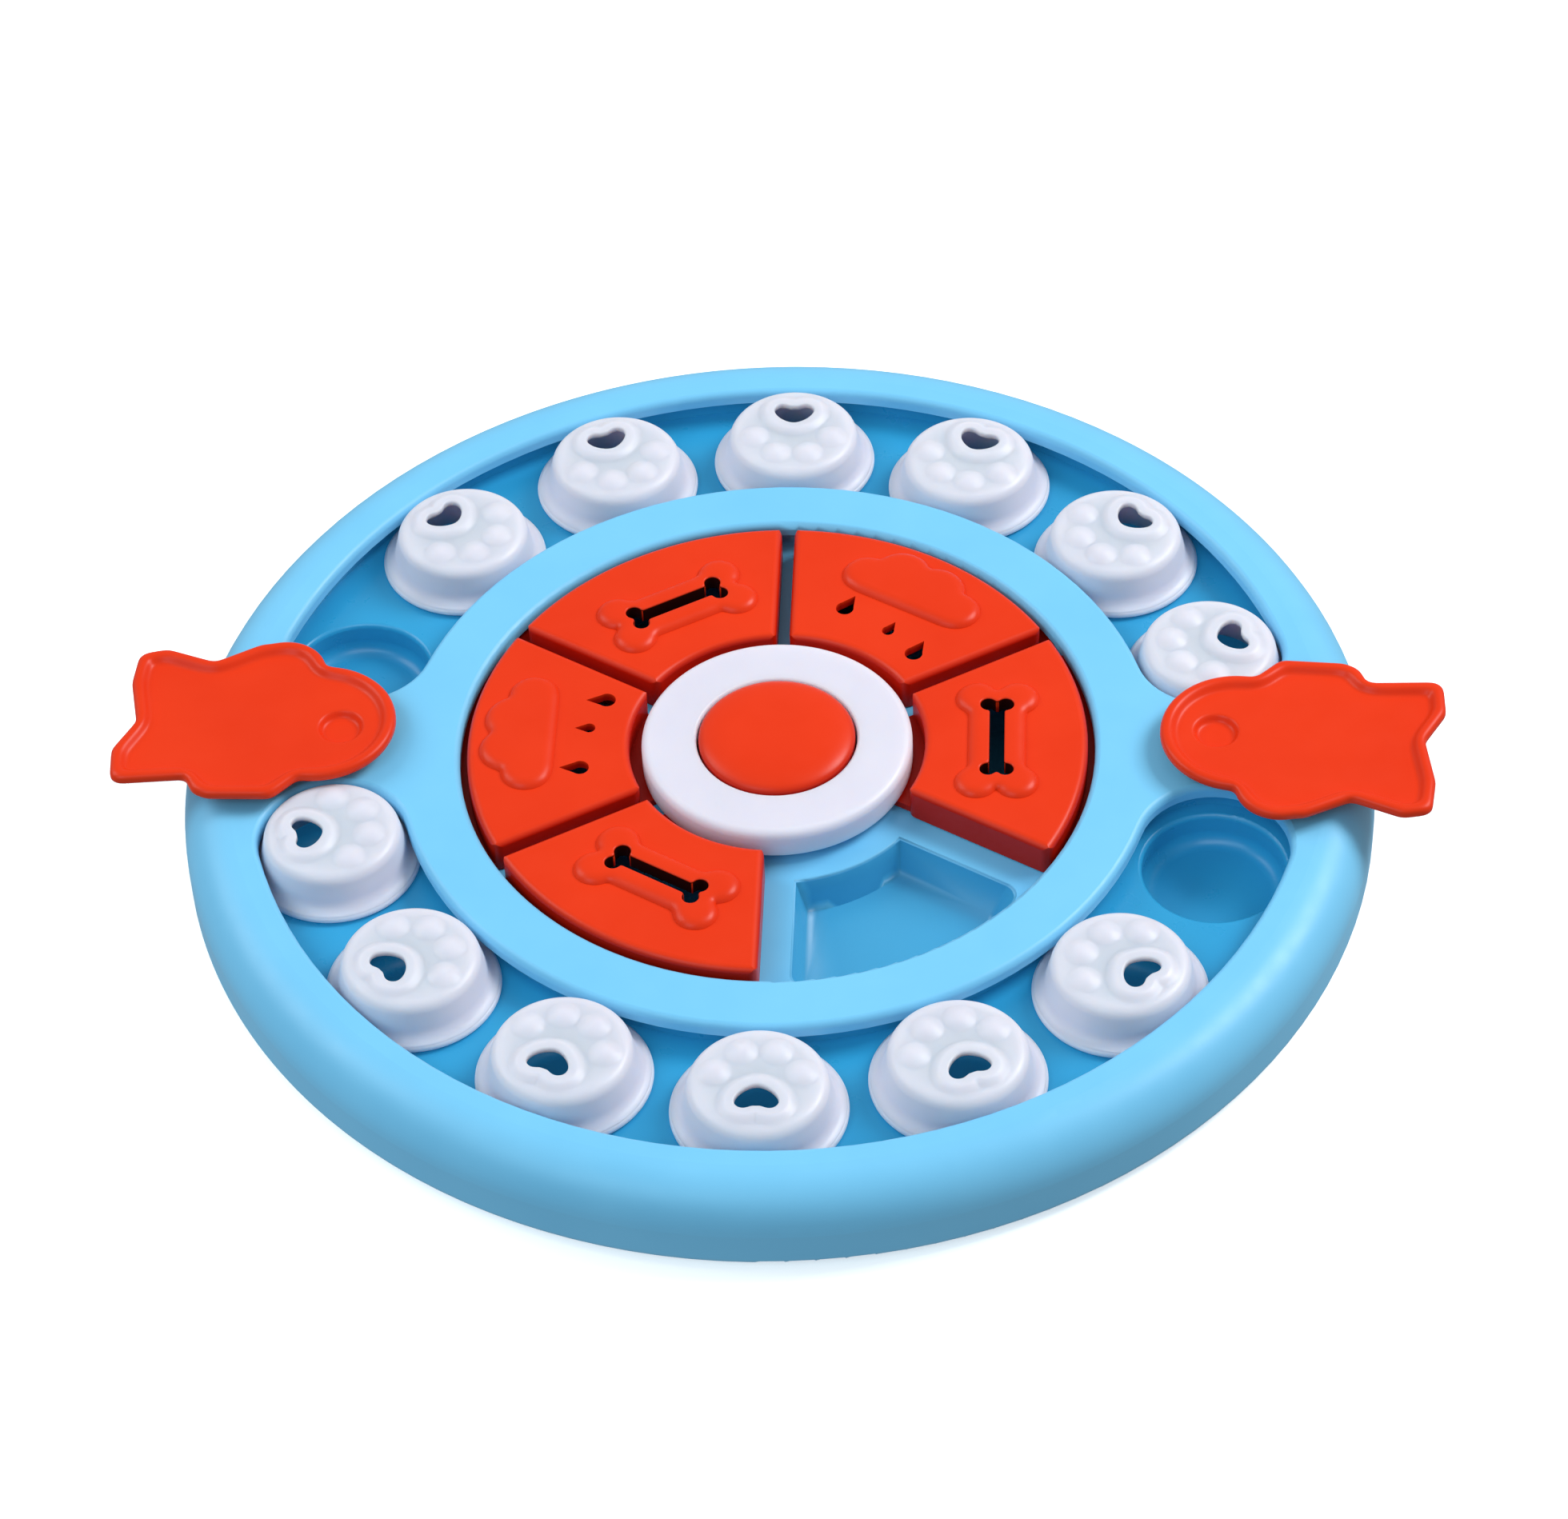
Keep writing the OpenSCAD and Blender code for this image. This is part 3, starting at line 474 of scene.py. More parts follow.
# %% Heart outline
KNOB_RING = 144
HEART_LOBE = (2.5, -1.3)
HEART_LOBE_R = 1.95
HEART_DOME = (4.4, 4.1)
HEART_DOME_POWER = 1.65
HEART_NOTCH = 1.3
SCENT_OFFSET = 4.6
HEART_MIDDLE = -0.9
HEART_ROUNDS = 14


def in_heart(x, y):
    """Whether a point lies in the soft heart: a dome towards +Y over two lobes with a shallow notch."""
    x, y = abs(x), y - HEART_LOBE[1]
    if y >= 0:
        return (x / HEART_DOME[0]) ** HEART_DOME_POWER + (y / HEART_DOME[1]) ** HEART_DOME_POWER <= 1
    return math.hypot(x - HEART_LOBE[0], y) <= HEART_LOBE_R or (x <= HEART_LOBE[0] and y >= -HEART_NOTCH)


def heart_reach(direction, middle):
    """How far the heart reaches from its middle in a direction, by halving."""
    low, high = 0.0, 8.0
    for _ in range(40):
        half = (low + high) / 2
        inside = in_heart(half * math.cos(direction), middle + half * math.sin(direction))
        low, high = (half, high) if inside else (low, half)
    return low


def smooth_ring(values, rounds, share=0.5):
    """Rounds off a closed row of values by averaging neighbours."""
    values = np.array(values, float)
    for _ in range(rounds):
        beside = (np.roll(values, 1, axis=0) + np.roll(values, -1, axis=0)) / 2
        values = (1 - share) * values + share * beside
    return values


RING_ANGLES = np.arange(KNOB_RING) * 2 * math.pi / KNOB_RING
heart_r = smooth_ring([heart_reach(a, HEART_MIDDLE) for a in RING_ANGLES], HEART_ROUNDS)
heart_width = 2 * float(np.max(heart_r * np.cos(RING_ANGLES)))
print("heart hole in mm:", round(heart_width, 2), "wide")

# %% Bell profile
def arc_points(cx, cy, r, start, end, count):
    """Points on an arc, with angles in degrees."""
    turn = np.radians(np.linspace(start, end, count))
    return np.stack([cx + r * np.cos(turn), cy + r * np.sin(turn)], axis=1)


def even_steps(points, count):
    """The same path with evenly spaced points."""
    points = np.array(points, float)
    along = np.concatenate([[0], np.cumsum(np.hypot(*np.diff(points, axis=0).T))])
    wanted = np.linspace(0, along[-1], count)
    return np.stack([np.interp(wanted, along, points[:, k]) for k in range(points.shape[1])], axis=1)


def soften(points, rounds):
    """Relaxes an open path with its ends held."""
    points = np.array(points, float)
    for _ in range(rounds):
        points[1:-1] = 0.5 * points[1:-1] + 0.25 * (points[:-2] + points[2:])
    return points


KNOB_BOTTOM = 12.3
KNOB_TOP = 22.5
CROWN_R = 14.3
CROWN_ROUND = 2.5
CROWN_SINK = 0.5
FOOT_R = 15.0
BRIM_R = 17.85
BRIM_T = 1.6
FLARE_R = 2.8
KNOB_WALL = 1.8
HOLLOW_ROUND = 1.2
BELL_ROUNDS = 12

CROWN_Z = KNOB_TOP - CROWN_SINK
brim_top = KNOB_BOTTOM + BRIM_T
bell = np.concatenate([
    arc_points(CROWN_R - CROWN_ROUND, CROWN_Z - CROWN_ROUND, CROWN_ROUND, 90, 0, 16),
    arc_points(FOOT_R + FLARE_R, brim_top + FLARE_R, FLARE_R, 180, 262, 14)])
bell = even_steps(soften(even_steps(bell, 90), BELL_ROUNDS), 34)
brim = arc_points(BRIM_R - BRIM_T / 2, KNOB_BOTTOM + BRIM_T / 2, BRIM_T / 2, 72, -90, 10)
hollow_r = CROWN_R - KNOB_WALL
ceiling = KNOB_TOP - KNOB_WALL
hollow = np.concatenate([[[hollow_r + 0.3, KNOB_BOTTOM], [hollow_r, KNOB_BOTTOM + 0.3]],
                         arc_points(hollow_r - HOLLOW_ROUND, ceiling - HOLLOW_ROUND, HOLLOW_ROUND, 0, 90, 6)])
bell_profile = np.concatenate([bell, brim, hollow])
brim_width = 2 * float(bell_profile[:, 0].max())
print("bell profile:", len(bell_profile), "rings,", round(brim_width, 2), "mm wide at the brim")

# %% [markdown]
# ## The paw knob: its loft
# On the crown the rings change from the heart to a circle, and each point is lifted by the pad that it lies
# on: a low dome at each toe, and a soft rim round the heart for the heel. Because the loop of rings closes on
# itself, the mesh is watertight with no caps to sew.

# %% Paw relief
TOE_SPOTS = ((3.5, 7.3), (-3.5, 7.3), (8.6, 2.0), (-8.6, 2.0))
TOE_R = 3.6
TOE_POWER = 1.3
HEEL_RIM = (1.6, 4.0)
PAW_RELIEF = 0.5
PAD_LIFT = PAW_RELIEF + CROWN_SINK


def ease(value):
    """Smooth step from 0 to 1."""
    value = np.clip(value, 0, 1)
    return value * value * (3 - 2 * value)


def pad_height(x, y, heart_points):
    """Height of the paw print over the crown at some points."""
    lift = np.zeros_like(x)
    for toe_x, toe_y in TOE_SPOTS:
        away = np.hypot(x - toe_x, y - toe_y) / TOE_R
        lift = np.maximum(lift, PAD_LIFT * np.clip(1 - away * away, 0, 1) ** TOE_POWER)
    gap = np.min(np.hypot(x[..., None] - heart_points[:, 0], y[..., None] - heart_points[:, 1]), axis=-1)
    heel = PAD_LIFT * (1 - ease((gap - HEEL_RIM[0]) / (HEEL_RIM[1] - HEEL_RIM[0])))
    return np.maximum(lift, heel)


print("paw print:", len(TOE_SPOTS), "toes and a heel,", PAD_LIFT, "mm over the crown")

# %% Loft one knob
HOLE_EDGE = ((0.25, 1.5), (0, 1.25), (0, 0.45), (0.06, 0.2), (0.2, 0.05))
HOLE_RIM = 0.4
CROWN_STEPS = 40
PAD_DEEPEST = 1.8
PAD_INNERMOST = 0.5


def knob_rings():
    """Every ring of the knob's loft, in millimetres, each an array of points."""
    cosine, sine = np.cos(RING_ANGLES), np.sin(RING_ANGLES)

    def heart_at(grow, z):
        reach = heart_r + grow
        middle = HEART_MIDDLE - SCENT_OFFSET
        return np.stack([reach * cosine, middle + reach * sine, np.full(KNOB_RING, z)], axis=1)

    def circle_at(r, z):
        return np.stack([r * cosine, r * sine, np.full(KNOB_RING, z)], axis=1)

    peak = KNOB_TOP + PAW_RELIEF
    rings = [heart_at(grow, peak - depth) for grow, depth in HOLE_EDGE]
    rim, edge = heart_at(HOLE_RIM, CROWN_Z), circle_at(CROWN_R - CROWN_ROUND, CROWN_Z)
    heart_points = heart_at(0, 0)[:, :2]
    for share in np.linspace(0, 1, CROWN_STEPS)[:-1]:
        ring = (1 - share) * rim + share * edge
        ring[:, 2] += pad_height(ring[:, 0], ring[:, 1], heart_points)
        rings.append(ring)
    for r, z in bell_profile:
        ring = circle_at(r, z)
        if z > CROWN_Z - PAD_DEEPEST and r > CROWN_R - CROWN_ROUND - PAD_INNERMOST:
            ring[:, 2] += pad_height(ring[:, 0], ring[:, 1], heart_points)
        rings.append(ring)
    inner = circle_at(hollow_r - HOLLOW_ROUND, ceiling)
    return rings + [(1 - share) * inner + share * rings[0] for share in (0.35, 0.7)]


def loft(name, rings, closed=True):
    """Joins rings of equally many points with quads; a closed loft also joins the last ring to the first."""
    size = len(rings[0])
    points = np.concatenate(rings) * MM
    faces = []
    for k in range(len(rings) if closed else len(rings) - 1):
        here, there = k * size, (k + 1) % len(rings) * size
        for i in range(size):
            j = (i + 1) % size
            faces.append((here + i, here + j, there + j, there + i))
    mesh = bpy.data.meshes.new(name)
    mesh.from_pydata(points.tolist(), [], faces)
    return mesh


knob_mesh = finish_mesh(loft("paw_knob", knob_rings()), 50)
print("knob:", len(knob_mesh.polygons), "faces, volume", round(enclosed_volume(knob_mesh) * 1e9), "mm3")

# %% [markdown]
# ## Two rows of knobs
# Each channel has seven cups and six knobs, so one cup is always free. The ring tree places the knobs at the
# cups' pitch, and keeps one at a time, because every knob is a body that slides by itself.

# %% Place the knobs
TRACK_R = 95
CUP_PITCH = 24.3
FIRST_CUP = 90 - 3 * CUP_PITCH
KNOBS = 6


def box_difference(piece, node):
    """How far a piece's box is from its CAD node's box, in millimetres."""
    low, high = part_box(node)
    points = np.array([v.co for v in piece.data.vertices])
    off = max(np.abs(points.min(0) - np.array(low)).max(), np.abs(points.max(0) - np.array(high)).max())
    return round(float(off) / MM, 2)


knob_master = add_object("knob_master", knob_mesh)
for channel, turned in (("rear", 0), ("front", 180)):
    for number in range(1, KNOBS + 1):
        name = f"{channel}_knob_{number}"
        knob = copies_on_ring(f"{channel}_paw_knob_{number}", knob_master, paw_white, KNOBS, TRACK_R,
                              FIRST_CUP + turned, CUP_PITCH, 90, number)
        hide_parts(name)
        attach(knob, name)
        print(name, "differs from the CAD node by", box_difference(knob, name), "mm")
bpy.data.objects.remove(knob_master)

# %% [markdown]
# ## The fish covers
# Each fish is a thin orange plate with a soft raised border, a satin floor and a round dimple for the eye,
# right over its pin. Its outline comes from the CAD node itself: the edges where the flat underside meets the
# wall. The border could be a bevelled extrusion, but the tail's narrow tips would fold over. So the outline
# is marched inwards in small steps and relaxed at each, which keeps the rings apart, and the border's soft
# section is lofted over those rings.

# %% Loops of edges on a CAD node
LEVEL = 2e-5


def chain_loops(beside):
    """Strings points together, given each point's neighbours, into loops in millimetres."""
    loops = []
    while beside:
        loop = [min(beside, key=lambda v: len(beside[v]))]
        while True:
            ways = [v for v in beside.pop(loop[-1]) if v in beside]
            if not ways:
                break
            loop.append(ways[0])
        loops.append(np.array([(v.co.x, v.co.y) for v in loop]) / MM)
    return loops


def longest_loop(node, z, facing, walls_go):
    """The longest loop of edges in which a CAD node's level face meets walls, in millimetres.

    The face lies at height z and looks up (facing 1) or down (-1); the walls go up (1) or down (-1) from it.
    """
    bm = bmesh.new()
    bm.from_mesh(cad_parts[node].data)
    bmesh.ops.remove_doubles(bm, verts=bm.verts, dist=2e-6)
    bm.normal_update()
    beside = {}
    for edge in bm.edges:
        if any(abs(v.co.z - z * MM) > LEVEL for v in edge.verts):
            continue
        walls = floors = 0
        for face in edge.link_faces:
            rise = face.calc_center_median().z - z * MM
            walls += abs(face.normal.z) < 0.5 and rise * walls_go > 0
            floors += face.normal.z * facing > 0.9 and abs(rise) < LEVEL
        if walls == 1 and floors == len(edge.link_faces) - 1:
            a, b = edge.verts
            beside.setdefault(a, []).append(b)
            beside.setdefault(b, []).append(a)
    loops = chain_loops(beside)
    bm.free()
    return max(loops, key=lambda p: np.hypot(*np.diff(p, axis=0, append=p[:1]).T).sum())


print("points within", LEVEL / MM, "mm of a height count as level with it")

# %% Outline of a fish from its CAD node
FISH_RING = 420
FISH_BOTTOM = 23.3


def even_loop(points, count):
    """A closed loop with evenly spaced points, turning left."""
    closed = even_steps(np.concatenate([points, points[:1]]), count + 1)[:-1]
    after = np.roll(closed, -1, axis=0)
    area = np.sum(closed[:, 0] * after[:, 1] - closed[:, 1] * after[:, 0])
    return closed if area > 0 else closed[::-1]


def fish_outline(node):
    return longest_loop(node, FISH_BOTTOM, -1, 1)


for node in ("left_fish", "right_fish"):
    outline = fish_outline(node)
    print(node, "outline:", len(outline), "points, spans", np.round(np.ptp(outline, axis=0), 1), "mm")

# %% March the outline inwards
MARCH_STEP = 0.08
MARCH_RELAX = 0.35


def march_inwards(outline, insets, sign=1):
    """Rings at growing distances inside a loop, or outside it with sign -1, kept apart by light relaxing."""
    ring = smooth_ring(even_loop(outline, FISH_RING), 4)
    rings, done = [], 0.0
    for inset in insets:
        while done < inset - 1e-6:
            move = min(MARCH_STEP, inset - done)
            along = np.roll(ring, -1, axis=0) - np.roll(ring, 1, axis=0)
            along /= np.linalg.norm(along, axis=1)[:, None]
            ring = ring + sign * move * np.stack([-along[:, 1], along[:, 0]], axis=1)
            ring = smooth_ring(ring, 1, MARCH_RELAX)
            ring = even_steps(np.concatenate([ring, ring[:1]]), FISH_RING + 1)[:-1]
            done += move
        rings.append(ring.copy())
    return rings


FISH_SECTION = ((0.45, 23.3), (0.12, 23.38), (0.0, 23.62), (0.0, 24.2), (0.1, 24.66), (0.35, 25.04),
                (0.75, 25.3), (1.25, 25.4), (1.7, 25.37), (2.1, 25.2), (2.45, 24.88), (2.75, 24.5),
                (3.05, 24.2), (3.35, 24.01), (3.7, 23.93), (4.1, 23.9))
print("border section:", len(FISH_SECTION), "rings, crest", max(z for _, z in FISH_SECTION), "mm")

# %% Rings in a mesh
ROUND = 72


def ring_verts(bm, points, z):
    return [bm.verts.new((x * MM, y * MM, z * MM)) for x, y in points]


def bridge(bm, lower, upper):
    count = len(lower)
    for i in range(count):
        bm.faces.new((lower[i], lower[(i + 1) % count], upper[(i + 1) % count], upper[i]))


def loop_edges(bm, ring):
    found = []
    for i, vert in enumerate(ring):
        after = ring[(i + 1) % len(ring)]
        found.append(bm.edges.get((vert, after)) or bm.edges.new((vert, after)))
    return found


def round_section(bm, pivot, section):
    """Rings of a turned shape about a pivot; the last one is closed with a face."""
    turn = np.arange(ROUND) * 2 * math.pi / ROUND
    unit = np.stack([np.cos(turn), np.sin(turn)], axis=1)
    rings = [ring_verts(bm, pivot + r * unit, z) for r, z in section]
    for lower, upper in zip(rings, rings[1:]):
        bridge(bm, lower, upper)
    bm.faces.new(rings[-1])
    return rings[0]


def section_rings(bm, outline, section, base=0.0, sign=1):
    """Rings of a section that follows an outline, inwards from it or outwards with sign -1."""
    insets = sorted({inset for inset, _ in section})
    at_inset = dict(zip(insets, march_inwards(outline, insets, sign)))
    rings = [ring_verts(bm, at_inset[inset], base + z) for inset, z in section]
    for lower, upper in zip(rings, rings[1:]):
        bridge(bm, lower, upper)
    return rings


def fill_between(bm, *rings):
    """Closes the level area inside a ring, or between two rings, with triangles."""
    edges = [edge for ring in rings for edge in loop_edges(bm, ring)]
    bmesh.ops.triangle_fill(bm, use_beauty=True, edges=edges)


def close_mesh(bm, name, crease):
    """Makes a finished mesh and prints how many of its edges are open."""
    bmesh.ops.recalc_face_normals(bm, faces=bm.faces)
    loose = sum(1 for edge in bm.edges if len(edge.link_faces) != 2)
    mesh = bpy.data.meshes.new(name)
    bm.to_mesh(mesh)
    bm.free()
    print(name, "faces:", len(mesh.polygons), "open edges:", loose)
    return finish_mesh(mesh, crease)


print("a round section has", ROUND, "points to a ring")

# %% Build the fish
EYE_SECTION = ((5.3, 23.9), (4.95, 23.85), (4.65, 23.66), (4.4, 23.32), (4.15, 22.85), (3.85, 22.5),
               (3.4, 22.33), (2.9, 22.3))
BOSS_SECTION = ((7.0, 23.3), (7.0, 20.6), (6.7, 20.3), (2.4, 20.3), (2.05, 20.6), (2.05, 22.1))


def build_fish(node, pin, name):
    """A fish from its border's rings, an eye over the pin and a boss under it."""
    low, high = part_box(pin)
    pivot = np.array([(low.x + high.x) / 2, (low.y + high.y) / 2]) / MM
    bm = bmesh.new()
    rings = section_rings(bm, fish_outline(node), FISH_SECTION)
    fill_between(bm, rings[-1], round_section(bm, pivot, EYE_SECTION))
    fill_between(bm, rings[0], round_section(bm, pivot, BOSS_SECTION))
    return add_object(name, close_mesh(bm, name, 35), fish_orange)


for side in ("left", "right"):
    fish = build_fish(f"{side}_fish", f"{side}_fish_pin", f"{side}_fish_cover")
    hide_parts(f"{side}_fish")
    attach(fish, f"{side}_fish")
    print(fish.name, "differs from the CAD node by", box_difference(fish, f"{side}_fish"), "mm")

# %% [markdown]
# ## Raised bones and clouds
# Each treat slide carries a bone round its slot, or a cloud over its three drops. In the CAD they are low and
# flat, and on the real slides they are puffed up like a cushion, which takes the light along their edges. A
# subdivision surface would need the outline redrawn as a cage. The fish's marched rings give the same soft
# slope from the outline that is already there. A bone's slot is left open through the middle, with a thin
# lining whose attribute paints a near-black shade on it, standing for the dark inside the slot.

# %% Puff up the figures
SLIDE_TOP = 20.6
FIGURE_TOP = 21.5
FIGURE_GROW = 0.35
FIGURE_SECTION = ((0.0, -0.4), (0.0, 0.02), (0.1, 0.18), (0.25, 0.42), (0.45, 0.66), (0.7, 0.88), (1.05, 1.1),
                  (1.45, 1.27), (1.95, 1.39), (2.55, 1.45))
SLOT_LINING = 0.06
SLOT_SECTION = ((0.4, 1.45), (0.2, 1.4), (0.05, 1.25), (0.0, 1.05), (0.0, -1.95))
SLOT_SHADE_FROM = 3


def build_figure(node, name):
    """The puffed-up figure of one slide, as a closed shell that is sunk into the slide's top."""
    outline = longest_loop(node, SLIDE_TOP, 1, 1)
    grown = march_inwards(outline, [FIGURE_GROW], -1)[0]
    bm = bmesh.new()
    shade = bm.verts.layers.float.new("slot_shade")
    rings = section_rings(bm, grown, FIGURE_SECTION, SLIDE_TOP)
    top, bottom = [rings[-1]], [rings[0]]
    if node.startswith("bone"):
        hole = march_inwards(longest_loop(node, FIGURE_TOP, 1, -1), [SLOT_LINING])[0]
        slot = section_rings(bm, hole, SLOT_SECTION, SLIDE_TOP, -1)
        # Painted shade: the lining's lower rings carry slot_shade, which the slides' plastic turns near
        # black.
        for vert in sum(slot[SLOT_SHADE_FROM:], []):
            vert[shade] = 1.0
        top.append(slot[0])
        bottom.append(slot[-1])
    fill_between(bm, *top)
    fill_between(bm, *bottom)
    return add_object(name, close_mesh(bm, name, 50), slide_orange)


for kind, count in (("bone", 3), ("cloud", 2)):
    for number in range(1, count + 1):
        slide = f"{kind}_slide_{number}"
        figure = build_figure(slide, f"{kind}_figure_{number}")
        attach(figure, slide)
        print(figure.name, "rides on", slide)

# %% [markdown]
# ## Turned pieces
# The button, the squeaker's bellows and the feet are all turned shapes: a profile swept round an axis. The
# Screw modifier can do that, but a lofted ring list with its poles closed by a face gives the same shape
# with nothing left to apply.

# %% Turned shapes
def turned(name, profile, sides, crease=40):
    """A closed shape of revolution from a list of radius and height pairs, both in millimetres."""
    turn = np.arange(sides) * 2 * math.pi / sides
    rings = [np.stack([r * np.cos(turn), r * np.sin(turn), np.full(sides, z)], axis=1) for r, z in profile]
    mesh = loft(name, rings, closed=False)
    bm = bmesh.new()
    bm.from_mesh(mesh)
    bm.verts.ensure_lookup_table()
    bm.faces.new([bm.verts[i] for i in range(sides)])
    bm.faces.new([bm.verts[len(bm.verts) - sides + i] for i in range(sides)])
    bmesh.ops.recalc_face_normals(bm, faces=bm.faces)
    bm.to_mesh(mesh)
    bm.free()
    return finish_mesh(mesh, crease)


print("turned shapes close both ends with a face")

# %% [markdown]
# ## The button
# The orange button is a hollow cap with a flange that the hub holds down. Its top is a soft dome, rounder
# than a fillet would make it: the height follows a power of the radius, flat in the middle and steep at the
# rim. The whole section, inside and out, is one profile to turn.

# %% Press button
BUTTON_R = 16.45
BUTTON_SHOULDER = 21.1
BUTTON_DOME_POWER = 4.2
BUTTON_WALL = 2.0
BUTTON_FLANGE_T = 1.4
BUTTON_CEILING = 20.6


def button_profile():
    """From the middle of the ceiling down the hollow, round the flange and up to the middle of the dome."""
    low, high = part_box("center_button")
    foot, top, flange_r = low.z / MM, high.z / MM, (high.x - low.x) / 2 / MM
    hollow_r, flange_top, edge = BUTTON_R - BUTTON_WALL, foot + BUTTON_FLANGE_T, 0.2
    section = [(0.6, BUTTON_CEILING), (hollow_r - 1.5, BUTTON_CEILING), (hollow_r, BUTTON_CEILING - 1.5),
               (hollow_r, foot), (flange_r - edge, foot), (flange_r, foot + edge),
               (flange_r, flange_top - edge), (flange_r - edge, flange_top), (BUTTON_R, flange_top),
               (BUTTON_R, BUTTON_SHOULDER - 1.0)]
    rise = np.sin(np.linspace(0, math.pi / 2, 120)[:-1])
    reach = BUTTON_R * (1 - rise ** 2) ** (1 / BUTTON_DOME_POWER)
    dome = np.stack([reach, BUTTON_SHOULDER + (top - BUTTON_SHOULDER) * rise], axis=1)
    return section + [tuple(spot) for spot in even_steps(dome, 48)]


button = add_object("press_button", turned("press_button", button_profile(), 128), button_orange)
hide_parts("center_button")
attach(button, "button")
print("button differs from the CAD node by", box_difference(button, "center_button"), "mm")

# %% [markdown]
# ## The squeaker's bellows
# Under the button sits a soft rubber bulb that squeaks as it is pressed. It flattens while its flange stays
# on the tray, so it rides with the tray instead of moving with the button, with a mesh of its own. A bellows
# with three folds flattens far more evenly than a plain dome, which is why real ones have them.

# %% Squeaker bellows
BULB_BASE = 4.5
BULB_TOP = 20.3
BULB_FOLDS = 3
BULB_ROUND = 3.6


def bellows_profile():
    flange = [(15.0, BULB_BASE), (15.0, BULB_BASE + 1.3), (14.7, BULB_BASE + 1.6), (11.0, BULB_BASE + 1.6)]
    along = np.linspace(0, 1, BULB_FOLDS * 12 + 1)
    start, end = BULB_BASE + 1.9, BULB_TOP - BULB_ROUND
    radii = 10.5 - 0.9 * np.cos(2 * math.pi * BULB_FOLDS * along)
    folds = np.stack([radii, start + along * (end - start)], axis=1)
    crown = arc_points(5.9, BULB_TOP - BULB_ROUND, BULB_ROUND, 0, 88, 9)
    return [*flange, *folds.tolist(), *crown.tolist(), (0.6, BULB_TOP)]


bellows = bellows_profile()
bulb = add_object("squeaker_bellows", turned("squeaker_bellows", bellows, 72, 60), bulb_rubber)
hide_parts("squeaker_bulb")
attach(bulb, "tray")
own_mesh(bulb)

# %% [markdown]
# ## Feet
# Four rubber feet are glued into shallow seats in the bottom plate. Fine rings on their soles grip a smooth
# floor, so the sole's profile has three grooves before it is turned, and the ring tree sets out the four.

# %% Foot pads
PAD_RING_R = 98


def foot_profile():
    sole = [(0.7, 0.0)]
    for r in (2.0, 4.0, 6.0):
        sole += [(r - 0.45, 0.0), (r - 0.25, 0.35), (r + 0.25, 0.35), (r + 0.45, 0.0)]
    return sole + [(7.5, 0.0), (7.85, 0.15), (8.0, 0.5), (8.0, 2.0)]


foot_master = add_object("foot_master", turned("foot_master", foot_profile(), 64))
feet = copies_on_ring("rubber_feet", foot_master, pad_rubber, 4, PAD_RING_R, 45, 90)
bpy.data.objects.remove(foot_master)
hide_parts("foot_pads")
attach(feet, "tray")
print("feet:", len(feet.data.polygons), "faces")

# %% [markdown]
# ## Screws
# Six small screws hold the plate to the cover, with their heads let into the plate, and three more hold the
# hub from below. Each head has a cross recess. A boolean could cut it, but a cross drawn in the head's face
# and pushed in keeps clean edges and needs no modifier.

# %% One screw with a cross recess
HEAD_R = 2.5
SHANK_R = 1.3
RIDGE_PITCH = 0.9
RIDGE_HEIGHT = 0.25
RECESS_DEEP = 0.7
SCREW_SIDES = 40


def cross_points(arm, half_width):
    """Twelve corners of a cross, turning left."""
    quarter = [(arm, -half_width), (arm, half_width), (half_width, half_width)]
    corners = []
    for k in range(4):
        c, s = round(math.cos(k * math.pi / 2)), round(math.sin(k * math.pi / 2))
        corners += [(c * x - s * y, s * x + c * y) for x, y in quarter]
    return corners


def screw_mesh(name, head_z, head_t, length):
    """A screw with its head downwards at head_z, and a ridged shank above it."""
    turn = np.arange(SCREW_SIDES) * 2 * math.pi / SCREW_SIDES
    unit = np.stack([np.cos(turn), np.sin(turn)], axis=1)
    neck = head_z + head_t
    section = [(HEAD_R - 0.25, head_z), (HEAD_R - 0.05, head_z + 0.08), (HEAD_R, head_z + 0.3),
               (HEAD_R, neck), (SHANK_R, neck)]
    for k in range(int((length - 1.0) / RIDGE_PITCH)):
        z = neck + 0.4 + RIDGE_PITCH * k
        section += [(SHANK_R - RIDGE_HEIGHT, z), (SHANK_R, z + 0.35), (SHANK_R - RIDGE_HEIGHT, z + 0.7)]
    section += [(SHANK_R - 0.3, neck + length - 0.3), (0.5, neck + length)]
    bm = bmesh.new()
    rings = [ring_verts(bm, r * unit, z) for r, z in section]
    for lower, upper in zip(rings, rings[1:]):
        bridge(bm, lower, upper)
    bm.faces.new(rings[-1])
    cross = ring_verts(bm, cross_points(1.45, 0.36), head_z)
    floor = ring_verts(bm, cross_points(1.1, 0.3), head_z + RECESS_DEEP)
    bridge(bm, cross, floor)
    bm.faces.new(floor)
    fill_between(bm, rings[0], cross)
    return close_mesh(bm, name, 30)


print("a screw's ridges are", RIDGE_PITCH, "mm apart")

# %% Rings of screws
# Name, CAD node, count, ring radius, first angle, height of the head's face and thickness of the head.
SCREW_ROWS = (("cover_cross_screws", "cover_screws", 6, 119.0, 30, 1.4, 1.0),
              ("hub_cross_screws", "hub_screws", 3, 21.725, 0, 3.0, 2.0))
for name, node, count, radius, first, head_z, head_t in SCREW_ROWS:
    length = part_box(node)[1].z / MM - head_z - head_t
    screw_master = add_object("screw_master", screw_mesh("screw_master", head_z, head_t, length))
    screws = copies_on_ring(name, screw_master, screw_steel, count, radius, first, 360 / count)
    bpy.data.objects.remove(screw_master)
    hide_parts(node)
    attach(screws, "tray")
    print(name, "length under the head in mm:", round(length, 2))
